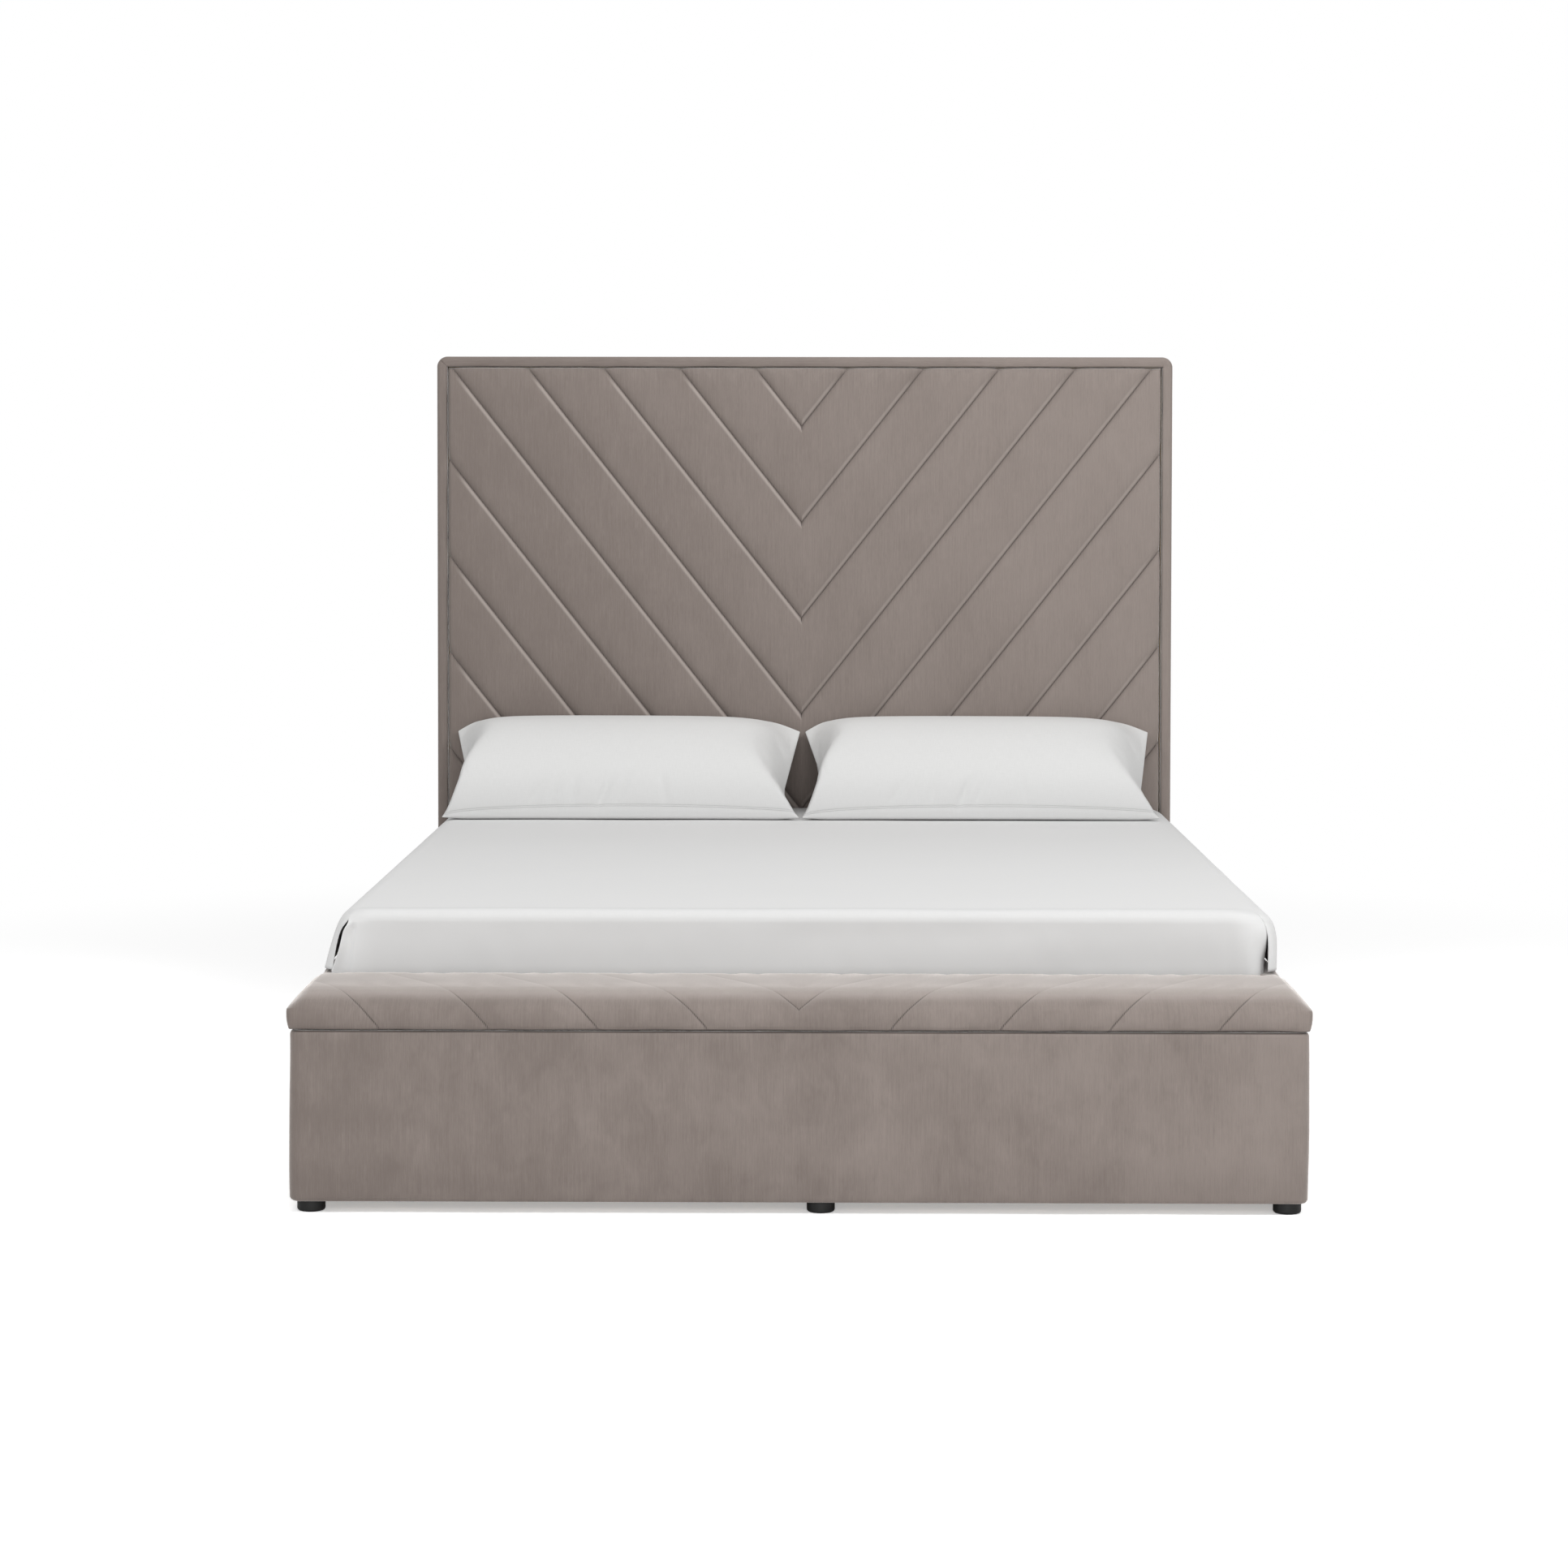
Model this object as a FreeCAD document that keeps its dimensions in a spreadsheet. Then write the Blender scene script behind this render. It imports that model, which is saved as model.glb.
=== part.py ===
"""Upholstered bed with a padded chevron headboard and a storage bench across its foot end.

Millimetres. +X is to the right seen from the foot end, +Y runs from the foot to the head and +Z is up.
The origin is on the floor, under the middle of the whole bed.
"""
import FreeCAD, Part
import math
import os
import re
import Sketcher

os.makedirs("parts", exist_ok=True)
doc = FreeCAD.newDocument("StorageBed")
Vector = FreeCAD.Vector

# Driving sizes, in millimetres, degrees, counts and shares
SIZES = {
    # The whole bed
    "overall_width": 1660,
    "overall_length": 2515,
    "headboard_height": 1471,
    "cut_overrun": 5,
    "seat_gap": 0.3,
    # Round plastic feet
    "foot_height": 22,
    "foot_radius": 23,
    "foot_round": 5,
    "front_foot_side_inset": 35,
    "front_foot_face_inset": 29,
    "middle_foot_offset": 36,
    # Headboard
    "headboard_depth": 95,
    "border_width": 23,
    "border_setback": 8,
    "border_round": 9,
    "border_corner_radius": 22,
    "border_gap": 1,
    "back_cover_thickness": 2,
    "post_width": 60,
    "post_depth": 45,
    "face_board_thickness": 12,
    "pad_bottom": 352,
    "pad_edge_round": 13,
    "channel_rise": 8,
    "headboard_rail_height": 80,
    "headboard_middle_rail_z": 800,
    "headboard_bottom_rail_z": 110,
    "headboard_bottom_rail_height": 160,
    # Chevron of the headboard: its topmost V point, the pitch of the V points and how steep it is
    "chevron_point_drop": 166,
    "chevron_pitch": 215,
    "chevron_slope_share": 1.27,
    "chevron_middle_offset": -9,
    # Side rails
    "rail_top": 345,
    "rail_board_thickness": 26,
    "rail_pad_thickness": 12,
    "rail_pad_round": 8,
    "rail_top_pad": 8,
    "ledge_width": 30,
    "ledge_height": 40,
    # Corner brackets and their bolts
    "bracket_leg": 70,
    "bracket_length": 110,
    "bracket_height": 120,
    "bracket_thickness": 3,
    "bracket_bottom": 110,
    "bolt_radius": 4,
    "bolt_head_radius": 8,
    "bolt_head_height": 4,
    "bolt_length": 16,
    "bolt_fit": 0.3,
    # Slats and the beam under them
    "slat_top": 200,
    "slat_thickness": 18,
    "slat_width": 70,
    "slat_count": 13,
    "slat_end_gap": 5,
    "slat_end_margin": 30,
    "strap_width": 25,
    "strap_thickness": 1.5,
    "strap_inset": 110,
    "beam_width": 50,
    "beam_height": 60,
    "beam_leg_radius": 19,
    "beam_leg_count": 3,
    "beam_glide_height": 8,
    "beam_glide_radius": 23,
    "hanger_thickness": 3,
    "hanger_margin": 25,
    "hanger_seat": 50,
    # Storage bench
    "bench_depth": 320,
    "bench_body_height": 275,
    "bench_front_pad": 22,
    "bench_end_pad": 20,
    "bench_corner_radius": 20,
    "bench_edge_round": 7,
    "panel_thickness": 18,
    "floor_panel_thickness": 12,
    "floor_panel_rise": 14,
    "lining_thickness": 1.5,
    "lining_drop": 8,
    # Lid of the bench
    "lid_gap": 2,
    "lid_end_overhang": 3,
    "lid_thickness": 60,
    "lid_tip_height": 32,
    "lid_tip_thickness": 14,
    "lid_end_taper": 7,
    "lid_end_run": 34,
    "lid_crown": 6,
    "lid_front_round": 42,
    "lid_rear_round": 30,
    "lid_front_drawn_in": 7,
    "lid_board_thickness": 15,
    "lid_board_rise": 3,
    "lid_board_margin": 30,
    "lid_wrap_thickness": 5,
    "lid_lining_thickness": 1,
    "lid_channel_depth": 5,
    "lid_channel_width": 3,
    "lid_chevron_pitch": 177,
    "lid_chevron_start": 12,
    "lid_chevron_slope_share": 1.42,
    "lid_chevron_count": 5,
    "bumper_radius": 7,
    "bumper_spread": 560,
    # Lid hinges
    "hinge_count": 3,
    "hinge_spacing": 560,
    "hinge_length": 70,
    "knuckle_radius": 4,
    "knuckle_count": 5,
    "knuckle_gap": 0.4,
    "hinge_pin_radius": 2,
    "hinge_pin_fit": 0.08,
    "hinge_leaf_thickness": 1.5,
    "hinge_leaf_length": 38,
    "hinge_notch": 6,
    # Lid struts, placed from the hinge axis
    "strut_side_inset": 34,
    "strut_lid_reach": 200,
    "strut_lid_drop": 22,
    "strut_base_reach": 60,
    "strut_base_drop": 200,
    "strut_tube_radius": 9,
    "strut_bore_radius": 7,
    "strut_rod_radius": 4,
    "strut_eye_radius": 8,
    "strut_eye_width": 8,
    "strut_eye_fit": 0.1,
    "strut_pin_radius": 3,
    "strut_neck_length": 2,
    "strut_tube_length": 205,
    "strut_rod_length": 206,
    "strut_plate_thickness": 2,
    "strut_plate_width": 36,
    "strut_plate_height": 30,
    # Mattress and bedding
    "lid_swing_room": 60,
    "mattress_rear_gap": 8,
    "mattress_side_gap": 27,
    "mattress_top": 451,
    "mattress_edge_round": 22,
    "mattress_corner_radius": 45,
    "sheet_thickness": 3,
    "sheet_gap": 0.5,
    "sheet_shoulder_reach": 33,
    "sheet_shoulder_drop": 14,
    "sheet_flare": 19,
    "sheet_slit_width": 12,
    "sheet_slit_drop": 21,
    "sheet_slit_offset": 25,
    "sheet_hem_height": 215,
    "pillow_width": 780,
    "pillow_gap": 6,
    "pillow_front_reach": 322,
    "pillow_rear_gap": 14,
    "pillow_top": 667,
    "pillow_corner_height": 632,
    "pillow_seam_thickness": 5,
    "pillow_side_draw": 24,
}

sheet = doc.addObject("Spreadsheet::Sheet", "Sizes")
for row, (alias, number) in enumerate(SIZES.items(), start=1):
    sheet.set(f"A{row}", alias)
    sheet.set(f"B{row}", str(number))
    sheet.setAlias(f"B{row}", alias)

# Places that follow from the sizes above
PLACES = {
    "half_width": "overall_width / 2",
    "front_y": "-overall_length / 2",
    "back_y": "overall_length / 2",
    "body_bottom": "foot_height",
    "body_top": "foot_height + bench_body_height",
    "bench_rear": "front_y + bench_depth",
    "mattress_front": "bench_rear + lid_swing_room",
    "pad_front": "back_y - headboard_depth",
    "mattress_rear": "pad_front - mattress_rear_gap",
    "border_front": "pad_front + border_setback",
    "cover_front": "back_y - back_cover_thickness",
    "post_front": "cover_front - post_depth",
    "face_front": "post_front - face_board_thickness",
    "core_half": "half_width - border_width",
    "core_top": "headboard_height - border_width",
    "post_inner": "core_half - post_width",
    "rail_outer": "half_width - rail_pad_thickness",
    "rail_inner": "rail_outer - rail_board_thickness",
    "rail_board_top": "rail_top - rail_top_pad",
    "mattress_half": "rail_inner - mattress_side_gap",
    "ledge_inner": "rail_inner - ledge_width",
    "slat_bottom": "slat_top - slat_thickness",
    "slat_half": "rail_inner - slat_end_gap",
    "beam_top": "slat_bottom",
    "beam_bottom": "slat_bottom - beam_height",
    "beam_front": "bench_rear + hanger_thickness",
    "beam_rear": "post_front - hanger_thickness",
    "front_panel_y": "front_y + bench_front_pad",
    "box_front": "front_panel_y + panel_thickness",
    "back_panel_y": "bench_rear - panel_thickness",
    "end_outer": "half_width - bench_end_pad",
    "end_inner": "end_outer - panel_thickness",
    "floor_bottom": "body_bottom + floor_panel_rise",
    "floor_top": "floor_bottom + floor_panel_thickness",
    "lining_top": "body_top - lining_drop",
    "lid_bottom": "body_top + lid_gap",
    "lid_board_bottom": "lid_bottom + lid_board_rise",
    "lid_board_top": "lid_board_bottom + lid_board_thickness",
    "hinge_y": "bench_rear + knuckle_radius",
    "hinge_z": "lid_board_bottom - knuckle_radius",
    "strut_x": "end_inner - lining_thickness - strut_side_inset",
    "strut_base_y": "hinge_y - strut_base_reach",
    "strut_base_z": "hinge_z - strut_base_drop",
    "strut_lid_y": "hinge_y - strut_lid_reach",
    "strut_lid_z": "hinge_z - strut_lid_drop",
    "sheet_top": "mattress_top + sheet_gap + sheet_thickness",
    "pillow_rear": "pad_front - pillow_rear_gap",
    "pillow_front": "pillow_rear - pillow_front_reach",
}

places = doc.addObject("Spreadsheet::Sheet", "Places")
HOMES = {alias: "Sizes" for alias in SIZES}


def bound(text):
    """The expression with each alias read from the sheet that holds it."""
    return re.sub(r"[a-z]+(?:_[a-z]+)+", lambda word: HOMES[word.group()] + "." + word.group(), text)


for row, (alias, formula) in enumerate(PLACES.items(), start=1):
    places.set(f"A{row}", alias)
    places.set(f"B{row}", "=" + bound(formula).replace("Places.", ""))
    places.setAlias(f"B{row}", alias)
    HOMES[alias] = "Places"
doc.recompute()


def size(alias):
    """A size or a place as a plain number."""
    value = doc.getObject(HOMES[alias]).get(alias)
    return float(getattr(value, "Value", value))


kept = []


def keep(piece, label):
    """Names a finished sub-part and puts it on the list of those that are written."""
    piece.Label = label
    kept.append(piece)
    return piece


def block(x, y, z):
    """A board whose faces lie at the two expressions given for each axis."""
    board = doc.addObject("Part::Box", "Board")
    for axis, side, (low, high) in zip("xyz", ("Length", "Width", "Height"), (x, y, z)):
        board.setExpression(side, bound(f"({high}) - ({low})"))
        board.setExpression(f".Placement.Base.{axis}", bound(low))
    return board


def mirrored(low_high):
    """The same stretch of X on the left side of the bed."""
    low, high = low_high
    return f"-({high})", f"-({low})"


def sides():
    """Both sides of the bed: its word, its sign and how it turns a stretch of X."""
    return (("left", -1, mirrored), ("right", 1, lambda low_high: low_high))


def rod(radius, length, x, y, z, axis=Vector(0, 0, 1)):
    """A cylinder from the expressions of its radius, length and foot, along the axis given."""
    cylinder = doc.addObject("Part::Cylinder", "Rod")
    cylinder.setExpression("Radius", bound(radius))
    cylinder.setExpression("Height", bound(length))
    cylinder.Placement = FreeCAD.Placement(Vector(), FreeCAD.Rotation(Vector(0, 0, 1), axis))
    for letter, place in zip("xyz", (x, y, z)):
        cylinder.setExpression(f".Placement.Base.{letter}", bound(place))
    return cylinder


def joined(pieces, kind="Part::MultiFuse"):
    """One solid from several that meet, or with Part::Compound a group of separate ones."""
    group = doc.addObject(kind, "Joined")
    if kind == "Part::Compound":
        group.Links = pieces
    else:
        group.Shapes = pieces
    return group


def less(base, tools):
    """The base with each of the tools cut from it."""
    cut = doc.addObject("Part::Cut", "Cut")
    cut.Base = base
    cut.Tool = tools[0] if len(tools) == 1 else joined(tools)
    return cut


def formed(shape, label):
    """A soft or bent piece, whose shape is worked out from the sizes."""
    piece = doc.addObject("Part::Feature", "Formed")
    piece.Shape = shape
    return keep(piece, label)


def polygon(points):
    """A closed flat face through the points."""
    return Part.Face(Part.makePolygon(points + points[:1]))


def front_edges(shape, y):
    """The edges of a shape that lie in the plane at y."""
    return [edge for edge in shape.Edges if all(abs(v.Y - y) < 1e-6 for v in edge.Vertexes)]


# Headboard: two posts and three rails behind a plywood face
for side, sign, turn in sides():
    keep(block(turn(("post_inner", "core_half")), ("post_front", "cover_front"), ("body_bottom", "core_top")),
         f"headboard_post_{side}")
HEADBOARD_RAILS = {
    "headboard_top_rail": ("core_top - headboard_rail_height", "core_top"),
    "headboard_middle_rail": ("headboard_middle_rail_z", "headboard_middle_rail_z + headboard_rail_height"),
    "headboard_bottom_rail": ("headboard_bottom_rail_z", "headboard_bottom_rail_z + headboard_bottom_rail_height"),
}
for label, height in HEADBOARD_RAILS.items():
    keep(block(("-post_inner", "post_inner"), ("post_front", "cover_front"), height), label)
keep(block(("-core_half", "core_half"), ("face_front", "post_front"), ("pad_bottom", "core_top")),
     "headboard_face_board")


# Headboard pad: crowned channels between V seams, drawn in all round its edge
def chevron_pad():
    """A slab with one arched strip between each two seams, mirrored about the middle."""
    half = size("core_half") - size("border_gap")
    bottom = size("pad_bottom")
    top = size("core_top") - size("border_gap")
    front = size("pad_front")
    back = size("face_front")
    rise = size("channel_rise")
    base = front + rise
    pitch = size("chevron_pitch")
    first = size("headboard_height") - size("chevron_point_drop")
    angle = math.atan(size("chevron_slope_share"))
    along = Vector(math.cos(angle), 0, math.sin(angle))
    across = Vector(-math.sin(angle), 0, math.cos(angle))
    strip_width = pitch * math.cos(angle)
    reach = math.hypot(2 * half, top)
    count = math.ceil((first + half * math.tan(angle) - bottom) / pitch)
    envelope = Part.makeBox(2 * half, back - front, top - bottom, Vector(-half, front, bottom))
    envelope = envelope.makeFillet(size("pad_edge_round"), front_edges(envelope, front))
    aside = size("chevron_middle_offset")
    half_box = Part.makeBox(half + abs(aside), rise + size("cut_overrun"), top - bottom, Vector(0, front, bottom))
    strips = []
    for number in range(-1, count):
        foot = Vector(0, base, first - pitch * (number + 1)) - along * reach
        middle = foot + across * (strip_width / 2) - Vector(0, rise, 0)
        end = foot + across * strip_width
        arc = Part.Arc(foot, middle, end).toShape()
        section = Part.Face(Part.Wire([arc, Part.makeLine(end, foot)]))
        strip = section.extrude(along * (2 * reach)).common(half_box)
        if strip.Volume > 1:
            strips.append(strip)
            strips.append(strip.mirror(Vector(), Vector(1, 0, 0)))
    for strip in strips:
        strip.translate(Vector(aside, 0, 0))
    slab = Part.makeBox(2 * half, back - base, top - bottom, Vector(-half, base, bottom))
    return slab.fuse(strips).removeSplitter().common(envelope)


formed(chevron_pad(), "headboard_chevron_pad")


# Headboard border: padded bars outside the posts and over the top, mitred at the corners
half = size("half_width")
core = size("core_half")
height = size("headboard_height")
core_top = size("core_top")


def headboard_corner_cut(sign):
    """The wedge outside the rounded upper corner of the headboard, its full depth."""
    radius = size("border_corner_radius")
    over = size("cut_overrun")
    centre = Vector(sign * (half - radius), size("border_front") - over, height - radius)
    depth = size("headboard_depth") + 2 * over
    block_x = centre.x if sign > 0 else centre.x - radius - over
    corner_block = Part.makeBox(radius + over, depth, radius + over, Vector(block_x, centre.y, centre.z))
    return corner_block.cut(Part.makeCylinder(radius, depth, centre, Vector(0, 1, 0)))


def border_bar(points, signs):
    """One padded bar of the border: its outline pushed back, its front edges and outer corners rounded."""
    face = polygon([Vector(x, size("border_front"), z) for x, z in points])
    bar = face.extrude(Vector(0, size("cover_front") - size("border_front"), 0))
    long_edges = [edge for edge in front_edges(bar, size("border_front"))
                  if edge.Length > 2 * size("border_width")]
    bar = bar.makeFillet(size("border_round"), long_edges)
    for sign in signs:
        bar = bar.cut(headboard_corner_cut(sign))
    return bar


for side, sign, turn in sides():
    outline = [(sign * core, size("body_bottom")), (sign * half, size("body_bottom")),
               (sign * half, height), (sign * core, core_top)]
    formed(border_bar(outline, [sign]), f"headboard_border_{side}")
formed(border_bar([(-core, core_top), (core, core_top), (half, height), (-half, height)], [-1, 1]),
       "headboard_border_top")


def back_cover():
    """The thin cloth-covered panel over the whole back of the headboard."""
    bottom = size("body_bottom")
    cover = Part.makeBox(2 * half, size("back_cover_thickness"), height - bottom,
                         Vector(-half, size("cover_front"), bottom))
    return cover.cut([headboard_corner_cut(-1), headboard_corner_cut(1)])


formed(back_cover(), "headboard_back_cover")


def outer_top_edges(shape):
    """The long edges of a rail's wrap along the top of its outer face."""
    return [edge for edge in shape.Edges
            if all(abs(abs(v.X) - half) < 1e-6 and abs(v.Z - size("rail_top")) < 1e-6
                   for v in edge.Vertexes)]


# Side rails: a board, its padded wrap and the ledge that the slats lie on
for side, sign, turn in sides():
    notch_z = ("body_top", "rail_top + cut_overrun")
    notch_y = ("bench_rear - cut_overrun", "mattress_front")
    rail_y = ("bench_rear", "border_front")
    board = less(block(turn(("rail_inner", "rail_outer")), rail_y, ("body_bottom", "rail_board_top")),
                 [block(turn(("rail_inner - cut_overrun", "half_width + cut_overrun")), notch_y, notch_z)])
    keep(board, f"side_rail_board_{side}")
    outer = block(turn(("rail_outer", "half_width")), rail_y, ("body_bottom", "rail_top"))
    over = block(turn(("rail_inner", "half_width")), ("mattress_front", "border_front"),
                 ("rail_board_top", "rail_top"))
    notch = block(turn(("rail_inner - cut_overrun", "half_width + cut_overrun")), notch_y, notch_z)
    wrap = less(joined([outer, over]), [notch])
    doc.recompute()
    wrap = wrap.Shape.removeSplitter()
    formed(wrap.makeFillet(size("rail_pad_round"), outer_top_edges(wrap)), f"side_rail_cover_{side}")
    keep(block(turn(("ledge_inner", "rail_inner")),
               ("bench_rear + bracket_length", "post_front - bracket_length"),
               ("slat_bottom - ledge_height", "slat_bottom")), f"slat_ledge_{side}")


# Corner brackets: bent steel angles that bolt the side rails to the bench and to the headboard posts
BRACKET_HOLE_SHARES = (0.25, 0.75)
BRACKET_REACH_SHARE = 0.65
BRACKET_ACROSS_SHARE = 0.35


def bracket(sign, at_head):
    """An angle with one leg along the rail and one across the panel or post at the rail's end."""
    thick = size("bracket_thickness")
    leg = size("bracket_leg")
    length = size("bracket_length")
    tall = size("bracket_height")
    bottom = size("bracket_bottom")
    inner = size("rail_inner")
    end = size("post_front") if at_head else size("bench_rear")
    start = end - length if at_head else end
    along = Part.makeBox(thick, length, tall, Vector(inner - thick, start, bottom))
    across = Part.makeBox(leg, thick, tall, Vector(inner - leg, end - thick if at_head else end, bottom))
    angle = along.fuse(across).removeSplitter()
    hole = size("bolt_radius") + size("bolt_fit")
    holes = []
    bolts = []
    for share in BRACKET_HOLE_SHARES:
        z = bottom + tall * share
        y = end - length * BRACKET_REACH_SHARE if at_head else end + length * BRACKET_REACH_SHARE
        holes.append(Part.makeCylinder(hole, size("bolt_length") + thick, Vector(inner - thick, y, z),
                                       Vector(1, 0, 0)))
        bolts.append(bolt(Vector(inner - thick, y, z), Vector(1, 0, 0)))
        x = inner - leg * BRACKET_ACROSS_SHARE
        face = end - thick if at_head else end + thick
        into = Vector(0, 1 if at_head else -1, 0)
        holes.append(Part.makeCylinder(hole, size("bolt_length") + thick, Vector(x, face, z), into))
        bolts.append(bolt(Vector(x, face, z), into))
    pieces = [angle.cut(holes)] + bolts + holes
    if sign < 0:
        pieces = [piece.mirror(Vector(), Vector(1, 0, 0)) for piece in pieces]
    return pieces[0], pieces[1:1 + len(bolts)], pieces[1 + len(bolts):]


def bolt(seat, into):
    """A round-headed bolt whose head sits on the face at seat and whose shank runs into it."""
    head = Part.makeCylinder(size("bolt_head_radius"), size("bolt_head_height"), seat, into * -1)
    far_rim = [edge for edge in head.Edges
               if len(edge.Vertexes) == 1 and abs((edge.Vertexes[0].Point - seat).dot(into)) > 1e-6]
    head = head.makeFillet(size("bolt_head_height") / 2, far_rim)
    return head.fuse(Part.makeCylinder(size("bolt_radius"), size("bolt_length"), seat, into))


angles = []
bolts = []
bolt_holes = []
for at_head in (False, True):
    for side, sign, turn in sides():
        angle, its_bolts, its_holes = bracket(sign, at_head)
        angles.append(angle)
        bolts.extend(its_bolts)
        bolt_holes.extend(its_holes)
formed(Part.makeCompound(angles), "rail_brackets")
formed(Part.makeCompound(bolts), "rail_bolts")


def drill(labels):
    """Bores the bolt holes in the wooden pieces that the bolts run into."""
    doc.recompute()
    for label in labels:
        blank = next(piece for piece in kept if piece.Label == label)
        holes = doc.addObject("Part::Feature", "Holes")
        holes.Shape = Part.makeCompound([hole for hole in bolt_holes if hole.common(blank.Shape).Volume > 1])
        kept.remove(blank)
        blank.Label = label + "_blank"
        keep(less(blank, [holes]), label)


# Feet, legs and glides: turned pieces with a rounded lower rim
def turned(radius, height, x, y, z, rim=None):
    """A body padded up from a circle, its lower rim rounded where rim names a size."""
    body = doc.addObject("PartDesign::Body", "Turned")
    ground = next(plane for plane in body.Origin.OriginFeatures if plane.Role == "XY_Plane")
    sketch = body.newObject("Sketcher::SketchObject", "Circle")
    sketch.AttachmentSupport = [(ground, "")]
    sketch.MapMode = "FlatFace"
    sketch.addGeometry(Part.Circle(Vector(), Vector(0, 0, 1), size(radius)), False)
    sketch.addConstraint(Sketcher.Constraint("Coincident", 0, 3, -1, 1))
    sketch.addConstraint(Sketcher.Constraint("Radius", 0, size(radius)))
    sketch.setExpression("Constraints[1]", bound(radius))
    pad = body.newObject("PartDesign::Pad", "Pad")
    pad.Profile = sketch
    pad.setExpression("Length", bound(height))
    doc.recompute()
    if rim:
        rims = [f"Edge{number}" for number, edge in enumerate(pad.Shape.Edges, start=1)
                if all(abs(v.Z) < 1e-6 for v in edge.Vertexes)]
        fillet = body.newObject("PartDesign::Fillet", "Rim")
        fillet.Base = (pad, rims)
        fillet.setExpression("Radius", bound(rim))
        doc.recompute()
    for letter, place in zip("xyz", (x, y, z)):
        body.setExpression(f".Placement.Base.{letter}", bound(place))
    return body


FRONT_FEET = {
    "bench_foot_left": "-(half_width - front_foot_side_inset)",
    "bench_foot_middle": "middle_foot_offset",
    "bench_foot_right": "half_width - front_foot_side_inset",
}
for label, x in FRONT_FEET.items():
    keep(turned("foot_radius", "foot_height", x, "front_y + front_foot_face_inset", "0 * foot_height",
                "foot_round"), label)
rear_feet = [turned("foot_radius", "foot_height", f"{sign} * (half_width - front_foot_side_inset)",
                    "bench_rear - front_foot_face_inset", "0 * foot_height", "foot_round") for sign in (-1, 1)]
keep(joined(rear_feet, "Part::Compound"), "bench_rear_feet")
head_feet = [turned("foot_radius", "foot_height", f"{sign} * (core_half + post_inner) / 2",
                    "(post_front + cover_front) / 2", "0 * foot_height", "foot_round") for sign in (-1, 1)]
keep(joined(head_feet, "Part::Compound"), "headboard_feet")

# Centre beam on its legs, hung from the bench and the headboard in bent steel seats
keep(block(("-beam_width / 2", "beam_width / 2"), ("beam_front", "beam_rear"), ("beam_bottom", "beam_top")),
     "centre_beam")
legs = []
glides = []
for number in range(int(size("beam_leg_count"))):
    y = f"beam_front + (beam_rear - beam_front) * {number + 1} / (beam_leg_count + 1)"
    legs.append(turned("beam_leg_radius", "beam_bottom - beam_glide_height", "0 * beam_width", y,
                       "beam_glide_height"))
    glides.append(turned("beam_glide_radius", "beam_glide_height", "0 * beam_width", y,
                         "0 * beam_glide_height"))
keep(joined(legs, "Part::Compound"), "centre_legs")
keep(joined(glides, "Part::Compound"), "centre_leg_glides")
hangers = []
for plate_y, seat_y in ((("bench_rear", "beam_front"), ("bench_rear", "beam_front + hanger_seat")),
                        (("beam_rear", "post_front"), ("beam_rear - hanger_seat", "post_front"))):
    plate = block(("-(beam_width / 2 + hanger_margin)", "beam_width / 2 + hanger_margin"), plate_y,
                  ("beam_bottom - hanger_thickness", "beam_top - hanger_margin"))
    seat = block(("-beam_width / 2", "beam_width / 2"), seat_y,
                 ("beam_bottom - hanger_thickness", "beam_bottom"))
    hangers.append(joined([plate, seat]))
keep(joined(hangers, "Part::Compound"), "beam_hangers")

# Slats across the ledges and the beam, tied underneath by two straps
slats = []
pitch = ("((mattress_rear - mattress_front - 2 * slat_end_margin - slat_width) / (slat_count - 1))")
for number in range(int(size("slat_count"))):
    low = f"mattress_front + slat_end_margin + {number} * {pitch}"
    slats.append(block(("-slat_half", "slat_half"), (low, f"{low} + slat_width"), ("slat_bottom", "slat_top")))
keep(joined(slats, "Part::Compound"), "bed_slats")
straps = []
for side, sign, turn in sides():
    stretch = turn(("ledge_inner - strap_inset", "ledge_inner - strap_inset + strap_width"))
    straps.append(block(stretch, ("mattress_front + slat_end_margin", "mattress_rear - slat_end_margin"),
                        ("slat_bottom - strap_thickness", "slat_bottom")))
keep(joined(straps, "Part::Compound"), "slat_straps")

# Storage bench: a plywood box with a padded front, padded ends and a cloth lining
full_height = ("body_bottom", "body_top")
keep(block(("-end_outer", "end_outer"), ("front_panel_y", "box_front"), full_height), "bench_front_panel")
keep(block(("-end_outer", "end_outer"), ("back_panel_y", "bench_rear"), full_height), "bench_back_panel")
for side, sign, turn in sides():
    keep(block(turn(("end_inner", "end_outer")), ("box_front", "back_panel_y"), full_height),
         f"bench_end_panel_{side}")
keep(block(("-end_inner", "end_inner"), ("box_front", "back_panel_y"), ("floor_bottom", "floor_top")),
     "bench_floor_panel")
lining = less(block(("-end_inner", "end_inner"), ("box_front", "back_panel_y"), ("floor_top", "lining_top")),
              [block(("-(end_inner - lining_thickness)", "end_inner - lining_thickness"),
                     ("box_front + lining_thickness", "back_panel_y - lining_thickness"),
                     ("floor_top + lining_thickness", "lining_top + cut_overrun"))])
keep(lining, "bench_lining")


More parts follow.
